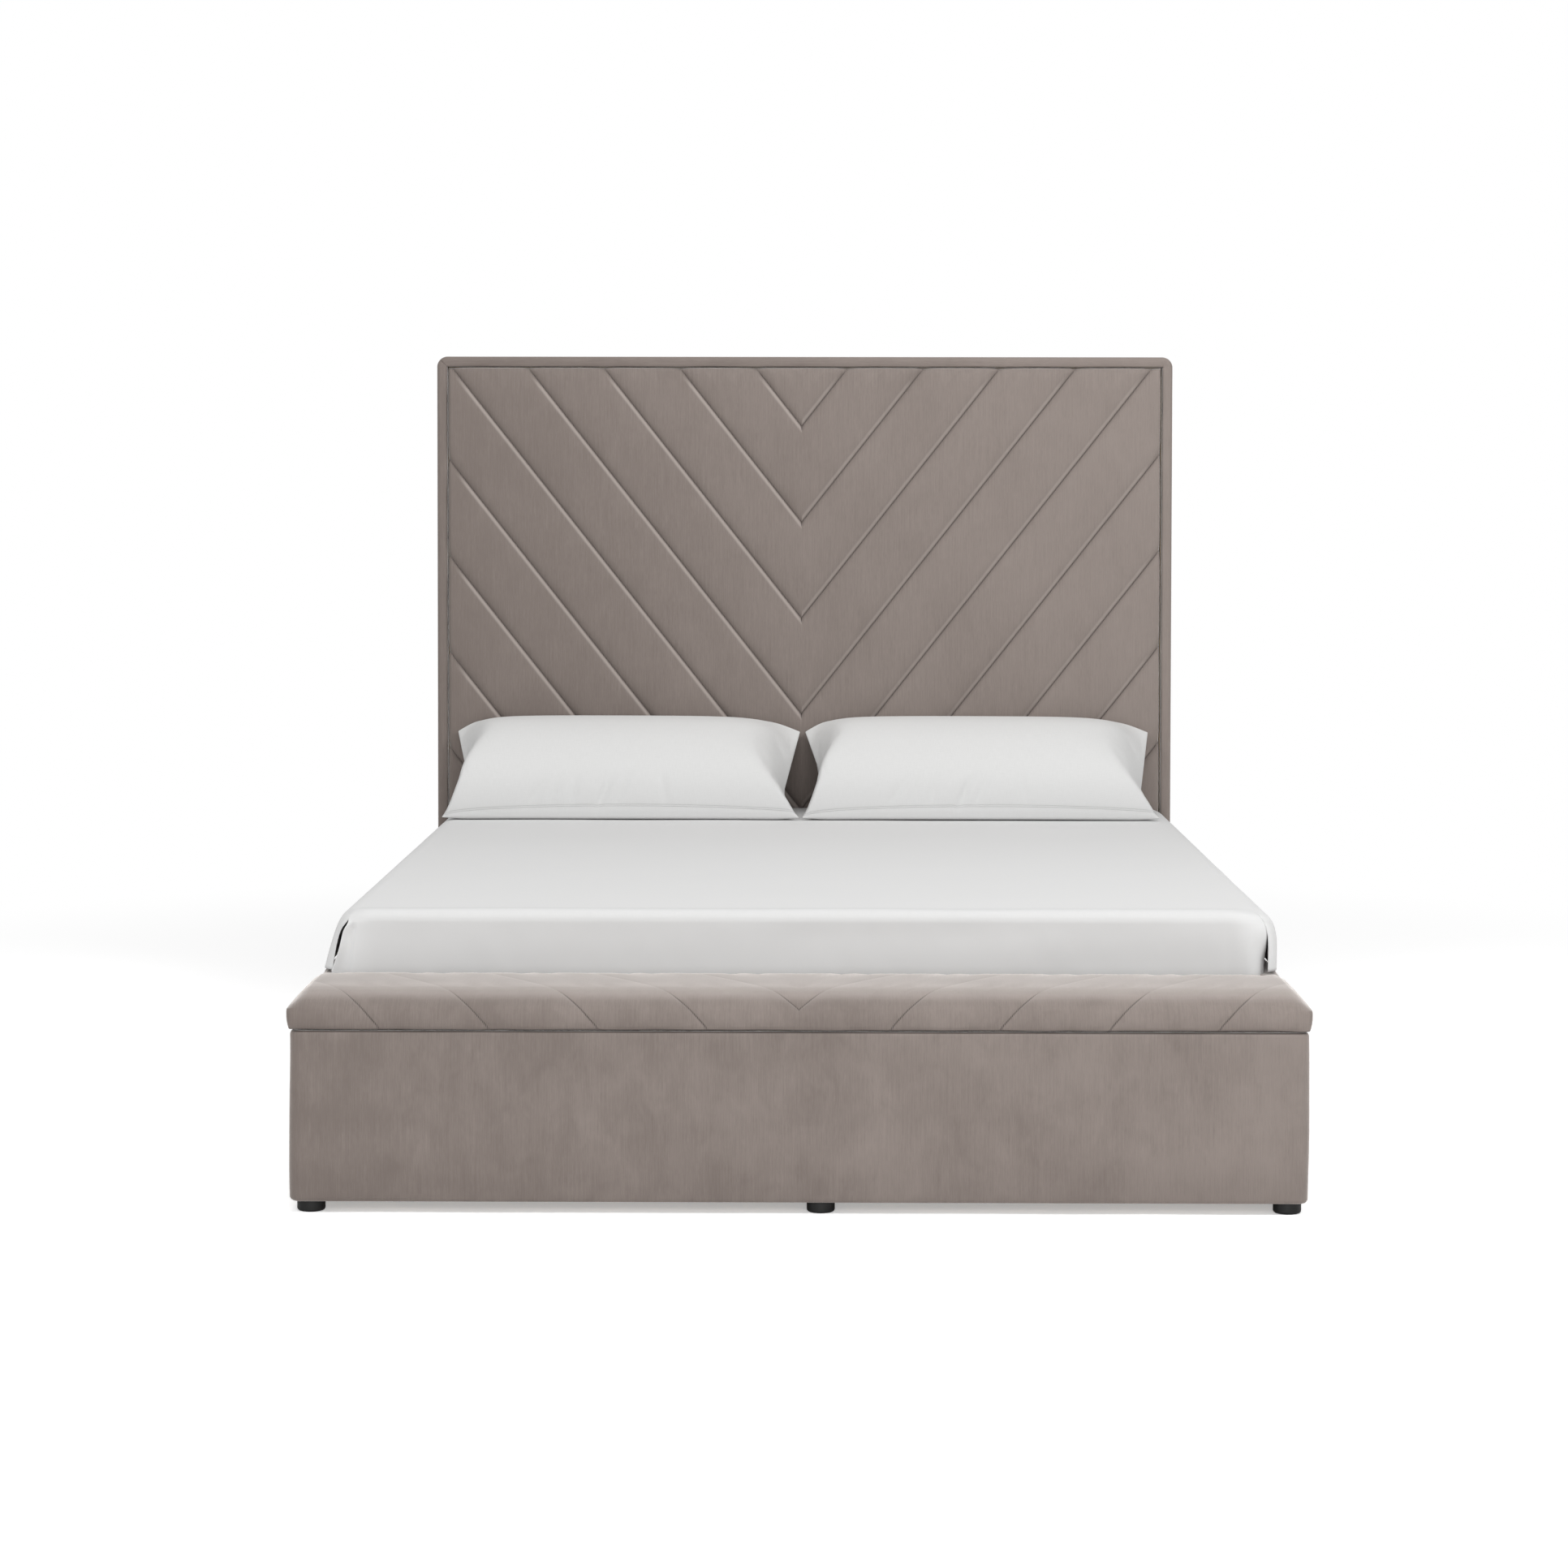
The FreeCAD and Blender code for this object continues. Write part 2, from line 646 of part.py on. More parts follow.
def bench_front_cover():
    """The padded front: its upright corners and its upper and lower edges are rounded."""
    front = size("front_y")
    low = size("body_bottom")
    top = size("body_top")
    pad = Part.makeBox(2 * half, size("bench_front_pad"), top - low, Vector(-half, front, low))
    upright = [edge for edge in front_edges(pad, front) if abs(edge.Vertexes[0].X - edge.Vertexes[1].X) < 1e-6]
    pad = pad.makeFillet(size("bench_corner_radius"), upright)
    rims = [edge for edge in pad.Edges
            if all(v.Z < low + 1e-6 or v.Z > top - 1e-6 for v in edge.Vertexes)
            and abs(edge.Vertexes[0].Z - edge.Vertexes[-1].Z) < 1e-6
            and edge.CenterOfMass.y < (size("front_y") + size("front_panel_y")) / 2]
    return pad.makeFillet(size("bench_edge_round"), rims)


def bench_end_cover(sign):
    """The padded end of the box, rounded along its upper and lower outer edges."""
    low = size("body_bottom")
    top = size("body_top")
    thick = size("bench_end_pad")
    x = size("end_outer") if sign > 0 else -half
    pad = Part.makeBox(thick, size("bench_rear") - size("front_panel_y"), top - low,
                       Vector(x, size("front_panel_y"), low))
    rims = [edge for edge in pad.Edges
            if all(abs(abs(v.X) - half) < 1e-6 for v in edge.Vertexes)
            and abs(edge.Vertexes[0].Z - edge.Vertexes[1].Z) < 1e-6]
    return pad.makeFillet(size("bench_edge_round"), rims)


formed(bench_front_cover(), "bench_front_cover")
for side, sign, turn in sides():
    formed(bench_end_cover(sign), f"bench_end_cover_{side}")
bumpers = [rod("bumper_radius", "lid_gap - seat_gap", f"{sign} * bumper_spread",
               "front_panel_y + panel_thickness / 2", "body_top") for sign in (-1, 1)]
keep(joined(bumpers, "Part::Compound"), "lid_bumpers")


# Lid hinges: butt hinges along the rear edge of the box, with the pin behind the back panel
def hinge_places():
    """The middle of each hinge along X."""
    count = int(size("hinge_count"))
    return [size("hinge_spacing") * (number - (count - 1) / 2) for number in range(count)]


def hinge_leaf(middle, moving):
    """One leaf with its share of the knuckles, bored for the pin."""
    count = int(size("knuckle_count"))
    length = size("hinge_length")
    radius = size("knuckle_radius")
    gap = size("knuckle_gap")
    thick = size("hinge_leaf_thickness")
    reach = size("hinge_leaf_length")
    y = size("hinge_y")
    z = size("hinge_z")
    step = length / count
    start = middle - length / 2
    if moving:
        plate = Part.makeBox(length, reach - radius - gap, thick, Vector(start, y - reach, z + radius - thick))
    else:
        plate = Part.makeBox(length, thick, reach - radius - gap, Vector(start, y - radius, z - reach))
    pieces = []
    for number in range(1 if moving else 0, count, 2):
        low = Vector(start + number * step + gap / 2, y, z)
        width = step - gap
        pieces.append(Part.makeCylinder(radius, width, low, Vector(1, 0, 0)))
        if moving:
            pieces.append(Part.makeBox(width, radius + gap, thick, low + Vector(0, -radius - gap, radius - thick)))
        else:
            pieces.append(Part.makeBox(width, thick, radius + gap, low + Vector(0, -radius, -radius - gap)))
    bore = Part.makeCylinder(size("hinge_pin_radius") + size("hinge_pin_fit"), length, Vector(start, y, z),
                             Vector(1, 0, 0))
    return plate.fuse(pieces).removeSplitter().cut(bore)


def hinge_notches(over):
    """The room cut in the lid for the knuckles and the moving leaves, wider than them by over."""
    length = size("hinge_length") + 2 * over
    tools = []
    for middle in hinge_places():
        start = Vector(middle - length / 2, size("hinge_y"), size("hinge_z"))
        tools.append(Part.makeCylinder(size("hinge_notch"), length, start, Vector(1, 0, 0)))
        reach = size("hinge_leaf_length") + over
        tools.append(Part.makeBox(length, reach, size("knuckle_radius") + over, start - Vector(0, reach, over)))
    return tools


formed(Part.makeCompound([hinge_leaf(x, False) for x in hinge_places()]), "hinge_leaves_fixed")
formed(Part.makeCompound([hinge_leaf(x, True) for x in hinge_places()]), "hinge_leaves_moving")
formed(Part.makeCompound([Part.makeCylinder(size("hinge_pin_radius"), size("hinge_length"),
                                            Vector(x - size("hinge_length") / 2, size("hinge_y"),
                                                   size("hinge_z")), Vector(1, 0, 0))
                          for x in hinge_places()]), "hinge_pins")

# Lid: a plywood board with a lined underside inside a crowned pad
lid_half = size("half_width") + size("lid_end_overhang")
board_x = ("-(half_width - lid_board_margin)", "half_width - lid_board_margin")
board_y = ("front_y + lid_board_margin", "bench_rear - lid_wrap_thickness")
keep(block(board_x, board_y, ("lid_board_bottom", "lid_board_top")), "lid_board")
doc.recompute()
lid_board = kept[-1].Shape
lid_lining = block(board_x, board_y, ("lid_board_bottom - lid_lining_thickness", "lid_board_bottom"))
doc.recompute()
formed(lid_lining.Shape.cut(hinge_notches(size("seat_gap"))), "lid_lining")

LID_BULGE_SHARE = 0.62
LID_REAR_LEAN_SHARE = 0.12


def pushed_back(points, limit, sign):
    """An arc through three points, moved along Y so that its outermost point lies at the limit."""
    circle = Part.Arc(*points).toShape().Curve
    shift = limit - (circle.Center.y + sign * circle.Radius)
    return [point + Vector(0, shift, 0) for point in points]


def lid_section(x, low, top, inset):
    """The lid's outline at one X: a waterfall front, a crowned top and a rounded rear."""
    front = size("front_y") + inset
    rear = size("bench_rear") - inset
    top = top - inset
    full = (top - low) / size("lid_thickness")
    shoulder = top - size("lid_crown") * full
    bulge = low + (top - low) * LID_BULGE_SHARE
    heel = rear - size("lid_rear_round") * LID_REAR_LEAN_SHARE * full
    a, nose, c = pushed_back([Vector(x, front + size("lid_front_drawn_in") * full, low),
                              Vector(x, front, bulge),
                              Vector(x, front + size("lid_front_round") * full, shoulder)], front, -1)
    e, heel, g = pushed_back([Vector(x, rear - size("lid_rear_round") * full, shoulder),
                              Vector(x, heel, bulge), Vector(x, rear, low)], rear, 1)
    crown = Vector(x, (c.y + e.y) / 2, top)
    edges = [Part.Arc(a, nose, c), Part.Arc(c, crown, e), Part.Arc(e, heel, g), Part.LineSegment(g, a)]
    return Part.Wire([edge.toShape() for edge in edges])


LID_TIP_SHARE = 0.68
LID_STATION_SHARES = ((1, 0.93), (2.2, 1))


def lid_form(inset):
    """The lid lofted along X: pointed at mid height at both ends, full between them."""
    low = size("lid_bottom")
    tall = size("lid_thickness")
    run = size("lid_end_run")
    tip = low + size("lid_tip_height")
    rows = [(lid_half - inset, tip - size("lid_tip_thickness") / 2, tip + size("lid_tip_thickness") / 2 + inset),
            (lid_half - size("lid_end_taper") - inset, low, low + tall * LID_TIP_SHARE)]
    rows += [(lid_half - run * reach - inset, low, low + tall * share) for reach, share in LID_STATION_SHARES]
    sections = [lid_section(-x, bottom, top, inset) for x, bottom, top in rows]
    sections += [lid_section(x, bottom, top, inset) for x, bottom, top in reversed(rows)]
    return Part.makeLoft(sections, True, True)


def lid_channels():
    """Thin slabs along the chevron seams: each runs up the front and on over the top."""
    slope = size("lid_chevron_slope_share")
    edge = Vector(0, size("front_y") + size("lid_front_drawn_in"), size("lid_bottom") + size("lid_thickness"))
    across = Vector(0, 1, -1) * (size("bench_depth") / math.sqrt(2))
    slabs = []
    for number in range(-1, int(size("lid_chevron_count"))):
        start = size("lid_chevron_start") + size("lid_chevron_pitch") * number
        near = max(0, start - size("bench_depth") / slope)
        far = min(start + size("bench_depth") / slope, lid_half - size("lid_end_run"))
        corners = []
        for x, way in ((near, 1), (near, -1), (far, -1), (far, 1)):
            along = slope * (x - start) / 2
            corners.append(edge + Vector(x, along, along) + across * (2 * way))
        normal = Vector(-slope, 1, 1).normalize()
        slab = polygon(corners).extrude(normal * size("lid_channel_width"))
        slabs.append(slab)
        slabs.append(slab.mirror(Vector(), Vector(1, 0, 0)))
    return slabs


def lid_cushion():
    """The lid's pad with its sewn channels, hollowed underneath for the board and the hinges."""
    outer = lid_form(0)
    inner = lid_form(size("lid_channel_depth"))
    over = size("cut_overrun")
    room = lid_board.BoundBox
    pocket = Part.makeBox(room.XLength, room.YLength, room.ZMax - size("lid_bottom") + over,
                          Vector(room.XMin, room.YMin, size("lid_bottom") - over))
    tools = [slab.cut(inner) for slab in lid_channels()]
    return outer.cut(tools + [pocket] + hinge_notches(size("seat_gap")))


formed(lid_cushion(), "lid_cushion")


# Lid struts: a tube pivoted low on the end panel and a rod pivoted under the lid that slides in it
def strut_turn():
    """The rotation that lays a strut, made along +Z, on the line between its two pivots at rest."""
    rise = size("strut_lid_z") - size("strut_base_z")
    run = size("strut_lid_y") - size("strut_base_y")
    return FreeCAD.Rotation(Vector(0, 0, 1), Vector(0, run, rise))


def strut_eye():
    """The ring at a strut's end, around a pin along X."""
    wide = size("strut_eye_width")
    return Part.makeCylinder(size("strut_eye_radius"), wide, Vector(-wide / 2, 0, 0), Vector(1, 0, 0))


def strut_bore():
    """The hole through a strut's eye."""
    wide = size("strut_eye_width")
    return Part.makeCylinder(size("strut_pin_radius") + size("strut_eye_fit"), 2 * wide, Vector(-wide, 0, 0),
                             Vector(1, 0, 0))


def strut_tube():
    """The outer tube with its closed end at the eye."""
    radius = size("strut_tube_radius")
    start = size("strut_eye_radius") + size("strut_neck_length")
    tube = Part.makeCylinder(radius, size("strut_tube_length") - start, Vector(0, 0, start))
    bore = Part.makeCylinder(size("strut_bore_radius"), size("strut_tube_length"),
                             Vector(0, 0, start + radius - size("strut_bore_radius")))
    neck = Part.makeCylinder(size("strut_rod_radius"), start, Vector())
    return tube.cut(bore).fuse([neck, strut_eye()]).cut(strut_bore())


def strut_rod():
    """The rod, made from its own eye down towards the tube."""
    shank = Part.makeCylinder(size("strut_rod_radius"), size("strut_rod_length"), Vector(), Vector(0, 0, -1))
    return shank.fuse(strut_eye()).cut(strut_bore())


def strut_bracket(pivot_y, pivot_z, under_lid):
    """The right-hand plate and pin that carry a strut's eye, on the end panel or under the lid."""
    x = size("strut_x")
    wide = size("strut_plate_width")
    tall = size("strut_plate_height")
    thick = size("strut_plate_thickness")
    clear = size("strut_eye_width") / 2 + size("seat_gap")
    pin_start = x - clear - thick
    if under_lid:
        ear_x = x + clear
        ceiling = size("lid_board_bottom") - size("lid_lining_thickness")
        ear = Part.makeBox(thick, wide / 2, ceiling - pivot_z + size("strut_eye_radius"),
                           Vector(ear_x, pivot_y - wide / 4, pivot_z - size("strut_eye_radius")))
        plate = Part.makeBox(tall, wide, thick, Vector(ear_x, pivot_y - wide / 2, ceiling - thick))
    else:
        ear_x = size("end_inner") - size("lining_thickness") - thick
        ear = Part.makeBox(thick, wide, tall, Vector(ear_x, pivot_y - wide / 2, pivot_z - tall / 2))
        plate = Part.makeCylinder(size("strut_eye_radius"), ear_x - x - clear, Vector(x + clear, pivot_y, pivot_z),
                                  Vector(1, 0, 0))
    pin = Part.makeCylinder(size("strut_pin_radius"), ear_x + thick / 2 - pin_start,
                            Vector(pin_start, pivot_y, pivot_z), Vector(1, 0, 0))
    return ear.fuse([plate, pin]).removeSplitter()


for side, sign, turn in sides():
    base = Vector(sign * size("strut_x"), size("strut_base_y"), size("strut_base_z"))
    top = Vector(sign * size("strut_x"), size("strut_lid_y"), size("strut_lid_z"))
    tube = formed(strut_tube(), f"strut_tube_{side}")
    tube.Placement = FreeCAD.Placement(base, strut_turn())
    sliding = formed(strut_rod(), f"strut_rod_{side}")
    sliding.Placement = FreeCAD.Placement(top, strut_turn())
    for name, pivot, under_lid in (("base", base, False), ("lid", top, True)):
        plate = strut_bracket(pivot.y, pivot.z, under_lid)
        if sign < 0:
            plate = plate.mirror(Vector(), Vector(1, 0, 0))
        formed(plate, f"strut_{name}_bracket_{side}")


# Mattress between the rails, with rounded corners and edges
def mattress():
    """A rounded block that lies on the slats."""
    wide = 2 * size("mattress_half")
    low = size("slat_top") + size("seat_gap")
    long = size("mattress_rear") - size("mattress_front")
    block_shape = Part.makeBox(wide, long, size("mattress_top") - low,
                               Vector(-wide / 2, size("mattress_front"), low))
    upright = [edge for edge in block_shape.Edges
               if abs(edge.Vertexes[0].Z - edge.Vertexes[1].Z) > size("mattress_edge_round")]
    rounded = block_shape.makeFillet(size("mattress_corner_radius"), upright)
    rims = [edge for edge in rounded.Edges
            if all(abs(v.Z - size("mattress_top")) < 1e-6 for v in edge.Vertexes)]
    return rounded.makeFillet(size("mattress_edge_round"), rims)


formed(mattress(), "mattress")


# Sheet: over the mattress, flared out to the rails at its sides and tucked down in front of the foot end
def sheet_outline(inset):
    """The closed outline of the sheet across the bed, drawn in by inset."""
    top = size("sheet_top") - inset
    hem = size("rail_top") + size("seat_gap")
    edge = size("mattress_half") - size("mattress_edge_round") / 2
    shoulder = size("mattress_half") + size("sheet_shoulder_reach") - inset
    drop = size("sheet_shoulder_drop")
    radius = ((shoulder - edge) ** 2 + drop ** 2) / (2 * drop)
    turn = math.asin((shoulder - edge) / radius) / 2
    right = [Vector(edge, 0, top), Vector(edge + radius * math.sin(turn), 0, top - radius * (1 - math.cos(turn))),
             Vector(shoulder, 0, top - drop), Vector(shoulder + size("sheet_flare"), 0, hem)]
    left = [Vector(-point.x, 0, point.z) for point in right]
    return Part.Wire([Part.makeLine(left[0], right[0]), Part.Arc(*right[:3]).toShape(),
                      Part.makeLine(right[2], right[3]), Part.makeLine(right[3], left[3]),
                      Part.makeLine(left[3], left[2]), Part.Arc(*left[2::-1]).toShape()])


def bed_sheet():
    """The sheet as one thin skin: its top with both sides, its front drop and the slits beside it."""
    thick = size("sheet_thickness")
    over = size("cut_overrun")
    front = size("mattress_front") - size("sheet_gap") - thick
    rear = size("mattress_rear")
    hem = size("rail_top") + size("seat_gap")
    outer = Part.Face(sheet_outline(0)).extrude(Vector(0, rear - front, 0))
    outer.translate(Vector(0, front, 0))
    inner = Part.Face(sheet_outline(thick)).extrude(Vector(0, rear - front, 0))
    inner.translate(Vector(0, front + thick, 0))
    skin = outer.cut(inner)
    drop_half = size("mattress_half") - size("mattress_corner_radius")
    drop = Part.makeBox(2 * drop_half, thick, hem + over - size("sheet_hem_height"),
                        Vector(-drop_half, front, size("sheet_hem_height")))
    slits = []
    for sign in (-1, 1):
        middle = sign * (size("mattress_half") + size("sheet_slit_offset"))
        slits.append(Part.makeBox(size("sheet_slit_width"), 2 * thick + over,
                                  size("sheet_top") - size("sheet_slit_drop") - hem + over,
                                  Vector(middle - size("sheet_slit_width") / 2, front - over, hem - over)))
    return skin.cut(slits).fuse(drop).removeSplitter()


formed(bed_sheet(), "bed_sheet")


# Pillows: leaning on the headboard, crowned, with thin seams and sides drawn in between the corners
PILLOW_KNEE_SHARE = 0.74
PILLOW_CROWN_SHARE = 0.62
PILLOW_BACK_SHARE = 0.09
PILLOW_FLAT_BACK_SHARE = 0.1
PILLOW_STATION_SHARES = ((1, 0), (0.9, 0.5), (0.68, 0.86), (0.3, 1))


def pillow_section(x, fullness):
    """The outline of a pillow at one X, from its thin side seam, 0, to its full middle, 1."""
    seam = Vector(0, 0, size("pillow_seam_thickness"))
    floor = size("sheet_top") + size("seat_gap")
    front = Vector(x, size("pillow_front"), floor) + seam
    rear = Vector(x, size("pillow_rear"), size("pillow_corner_height"))
    chord = rear - front
    flat_knee = front + chord * PILLOW_KNEE_SHARE - seam
    full_knee = Vector(x, front.y + chord.y * PILLOW_KNEE_SHARE, floor)
    knee = flat_knee * (1 - fullness) + full_knee * fullness
    flat_crown = front + chord * PILLOW_CROWN_SHARE + seam
    full_crown = Vector(x, front.y + chord.y * PILLOW_CROWN_SHARE, size("pillow_top"))
    crown = flat_crown * (1 - fullness) + full_crown * fullness
    outward = Vector(0, rear.z - knee.z, knee.y - rear.y)
    bend = PILLOW_FLAT_BACK_SHARE + (1 - PILLOW_FLAT_BACK_SHARE) * fullness
    back = (knee + rear) / 2 + outward * (PILLOW_BACK_SHARE * bend)
    return Part.Wire([Part.makeLine(front, knee), Part.Arc(knee, back, rear).toShape(),
                      Part.Arc(rear, crown, front).toShape()])


def pillow(middle):
    """A pillow lofted along X and trimmed to sides that curve in between its four corners."""
    reach = size("pillow_width") / 2
    over = size("cut_overrun")
    rows = [(-share * reach, fullness) for share, fullness in PILLOW_STATION_SHARES]
    rows += [(share * reach, fullness) for share, fullness in reversed(PILLOW_STATION_SHARES)]
    body = Part.makeLoft([pillow_section(x, fullness) for x, fullness in rows], True, True)
    front = size("pillow_front") - over
    rear = size("pillow_rear") + over
    low = size("sheet_top") - over
    waist = reach - size("pillow_side_draw")
    corners = [Vector(-reach, front, low), Vector(reach, front, low), Vector(reach, rear, low),
               Vector(-reach, rear, low)]
    outline = Part.Wire([Part.makeLine(corners[0], corners[1]),
                         Part.Arc(corners[1], Vector(waist, (front + rear) / 2, low), corners[2]).toShape(),
                         Part.makeLine(corners[2], corners[3]),
                         Part.Arc(corners[3], Vector(-waist, (front + rear) / 2, low), corners[0]).toShape()])
    trim = Part.Face(outline).extrude(Vector(0, 0, size("pillow_top")))
    shape = body.common(trim)
    shape.translate(Vector(middle, 0, 0))
    return shape


for side, sign, turn in sides():
    formed(pillow(sign * (size("pillow_width") + size("pillow_gap")) / 2), f"pillow_{side}")

# Bolt holes in the boards and posts that the corner brackets are bolted to
drill(["side_rail_board_left", "side_rail_board_right", "bench_back_panel", "headboard_post_left",
       "headboard_post_right"])


# Check of every object and piece, then one file for each piece
doc.recompute()
broken = [item.Label for item in doc.Objects if "Invalid" in item.State or "Error" in item.State]
assert not broken, f"failed objects: {broken}"
assert len({piece.Label for piece in kept}) == len(kept), "two pieces share a name"
for piece in kept:
    assert not piece.Shape.isNull() and piece.Shape.isValid(), f"bad shape: {piece.Label}"
    assert piece.Shape.Volume > 0, f"no volume: {piece.Label}"
for piece in kept:
    piece.Shape.exportStep(f"parts/{piece.Label}.step")
print(len(kept), "pieces written")
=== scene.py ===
"""An upholstered storage bed: taupe velvet over a plywood and pine frame, made up with white bedding.

Metres. +X is to the right seen from the foot end, +Y runs from the foot to the head and +Z is up.
"""
import bmesh
import bpy
import math
import numpy as np
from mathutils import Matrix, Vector


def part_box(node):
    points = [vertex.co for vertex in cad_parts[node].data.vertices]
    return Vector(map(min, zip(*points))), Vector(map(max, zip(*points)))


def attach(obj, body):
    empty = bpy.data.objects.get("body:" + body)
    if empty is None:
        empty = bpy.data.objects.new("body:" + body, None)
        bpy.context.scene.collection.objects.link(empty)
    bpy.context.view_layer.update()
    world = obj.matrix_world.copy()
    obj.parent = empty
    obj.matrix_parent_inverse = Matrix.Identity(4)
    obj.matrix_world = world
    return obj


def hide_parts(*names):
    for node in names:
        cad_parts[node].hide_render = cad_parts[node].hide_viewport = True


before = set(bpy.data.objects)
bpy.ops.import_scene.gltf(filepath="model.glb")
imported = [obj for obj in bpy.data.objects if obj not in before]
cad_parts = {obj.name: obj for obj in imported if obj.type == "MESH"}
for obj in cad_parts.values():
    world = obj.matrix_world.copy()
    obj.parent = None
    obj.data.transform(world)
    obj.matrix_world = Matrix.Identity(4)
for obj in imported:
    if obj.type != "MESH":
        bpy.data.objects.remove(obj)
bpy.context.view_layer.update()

# Studio: the room is plain white. A camera a little above the bed looks straight along it from its foot end,
# with a long lens. A large soft lamp behind it lights the fronts, one hangs above, and a smaller one stands high
# on each side, the stronger one on the right.
CAMERA_PLACE = (0.0261, -7.2895, 1.1838)
CAMERA_TILT, CAMERA_ROLL, CAMERA_TURN = 87.813, -0.079, 0.488
LENS = 85.95
FRAME_SHIFT = -0.10
WHITE = (1, 1, 1, 1)
FLOOR_HALF = 30
FLOOR_LIFT = 0.35
FLOOR_LIT = (1.7, 3.4)
FLOOR_STRETCH = (1, 0.8, 1)
ROOM_LIGHT = 0.35

camera = bpy.data.objects.new("camera", bpy.data.cameras.new("camera"))
bpy.context.scene.collection.objects.link(camera)
camera.location = CAMERA_PLACE
camera.rotation_euler = [math.radians(angle) for angle in (CAMERA_TILT, CAMERA_ROLL, CAMERA_TURN)]
camera.data.lens = LENS
camera.data.shift_y = FRAME_SHIFT
camera.data.clip_end = 100
bpy.context.scene.camera = camera
bpy.context.scene.view_settings.view_transform = "Standard"


def lamp(name, place, aim, width, power):
    """A square soft lamp of the width given, turned towards the point it aims at."""
    data = bpy.data.lights.new(name, "AREA")
    data.size, data.energy = width, power
    body = bpy.data.objects.new(name, data)
    bpy.context.scene.collection.objects.link(body)
    body.location = place
    body.rotation_euler = (Vector(aim) - Vector(place)).to_track_quat("-Z", "Y").to_euler()


lamp("lamp_right", (2.5, -2.0, 3.0), (0.3, 1.0, 0.8), 1.1, 60)
lamp("lamp_left", (-2.5, -2.4, 3.0), (-0.3, 0.6, 0.6), 1.6, 42)
lamp("lamp_above", (0, -0.3, 4.2), (0, 0, 0), 3.4, 58)
lamp("lamp_front", (0.3, -8.0, 2.2), (0, -0.5, 0.5), 3.5, 225)


class Wire:
    """The output socket of a node. Sums, products and so on of wires and numbers add Math nodes."""

    def __init__(self, finish, socket):
        self.finish = finish
        self.socket = socket

    def maths(self, operation, *values):
        return self.finish.node("Math", {"operation": operation}, dict(enumerate(values)))

    def __add__(self, other):
        return self.maths("ADD", self, other)

    def __sub__(self, other):
        return self.maths("SUBTRACT", self, other)

    def __rsub__(self, other):
        return self.maths("SUBTRACT", other, self)

    def __mul__(self, other):
        return self.maths("MULTIPLY", self, other)

    def __truediv__(self, other):
        return self.maths("DIVIDE", self, other)

    def __mod__(self, other):
        return self.maths("WRAP", self, other, 0)

    def over(self, low, high):
        """0 below low and 1 above high, with a smooth rise between."""
        return self.finish.node("MapRange", {"interpolation_type": "SMOOTHSTEP"},
                                {"Value": self, "From Min": low, "From Max": high})

    def band(self, start, full, fade, stop):
        """1 from full to fade and 0 outside start and stop."""
        return self.over(start, full) * (1 - self.over(fade, stop))

    __radd__ = __add__


class Finish:
    """A material on the Principled shader, whose plain settings are given by the names of its sockets."""

    def __init__(self, name, **plain):
        self.material = bpy.data.materials.new(name)
        self.material.use_nodes = True
        self.tree = self.material.node_tree
        self.shader = self.tree.nodes["Principled BSDF"]
        self.end = self.tree.nodes["Material Output"]
        for socket, value in plain.items():
            self.shader.inputs[socket.replace("_", " ")].default_value = value

    def node(self, kind, settings, sockets, output=0):
        """Adds a shader node, sets its settings, then feeds its sockets, and gives its output."""
        made = self.tree.nodes.new("ShaderNode" + kind)
        for word, value in settings.items():
            setattr(made, word, value)
        for key, value in sockets.items():
            self.feed(made.inputs[key], value)
        return Wire(self, made.outputs[output])

    def feed(self, socket, value):
        """Links a wire to a socket, or sets a plain number or colour on it."""
        if isinstance(value, Wire):
            self.tree.links.new(value.socket, socket)
        else:
            socket.default_value = value

    def mix(self, share, first, second):
        """The colour between two colours at a share from 0 to 1."""
        return self.node("Mix", {"data_type": "RGBA"}, {0: share, 6: first, 7: second}, 2)

    def field(self, name):
        """The numbers that the piece carries on its points under a name."""
        return self.node("Attribute", {"attribute_name": name}, {}, 2)

    def shade(self, colour, name, bright, deep):
        """A colour that turns to a bright one where a field is over 0, and to a deep one where it is under."""
        field = self.field(name)
        return self.mix((field * -1).over(0, 1), self.mix(field.over(0, 1), colour, bright), deep)

    def place(self, scale=(1, 1, 1), source="Object"):
        """Object coordinates, or the piece's own UV map, stretched by the scale."""
        which = {"Object": 3, "UV": 2}[source]
        where = self.node("TexCoord", {}, {}, which)
        return self.node("Mapping", {}, {"Vector": where, "Scale": scale})

    def noise(self, stretch, detail=2.0, rough=0.5, warp=0.0, source="Object"):
        """Soft noise from 0 to 1, with as many grains to the metre along each axis as the stretch says."""
        return self.node("TexNoise", {}, {"Vector": self.place(stretch, source), "Scale": 1.0, "Detail": detail,
                                          "Roughness": rough, "Distortion": warp})

    def bump(self, height, distance, strength=1.0):
        """The surface normal after a relief whose height is in units of distance, in metres."""
        return self.node("Bump", {}, {"Height": height, "Distance": distance, "Strength": strength})

    def surface(self, **wires):
        """Feeds the shader's sockets that change over the surface."""
        for socket, value in wires.items():
            self.feed(self.shader.inputs[socket.replace("_", " ")], value)
        return self.material


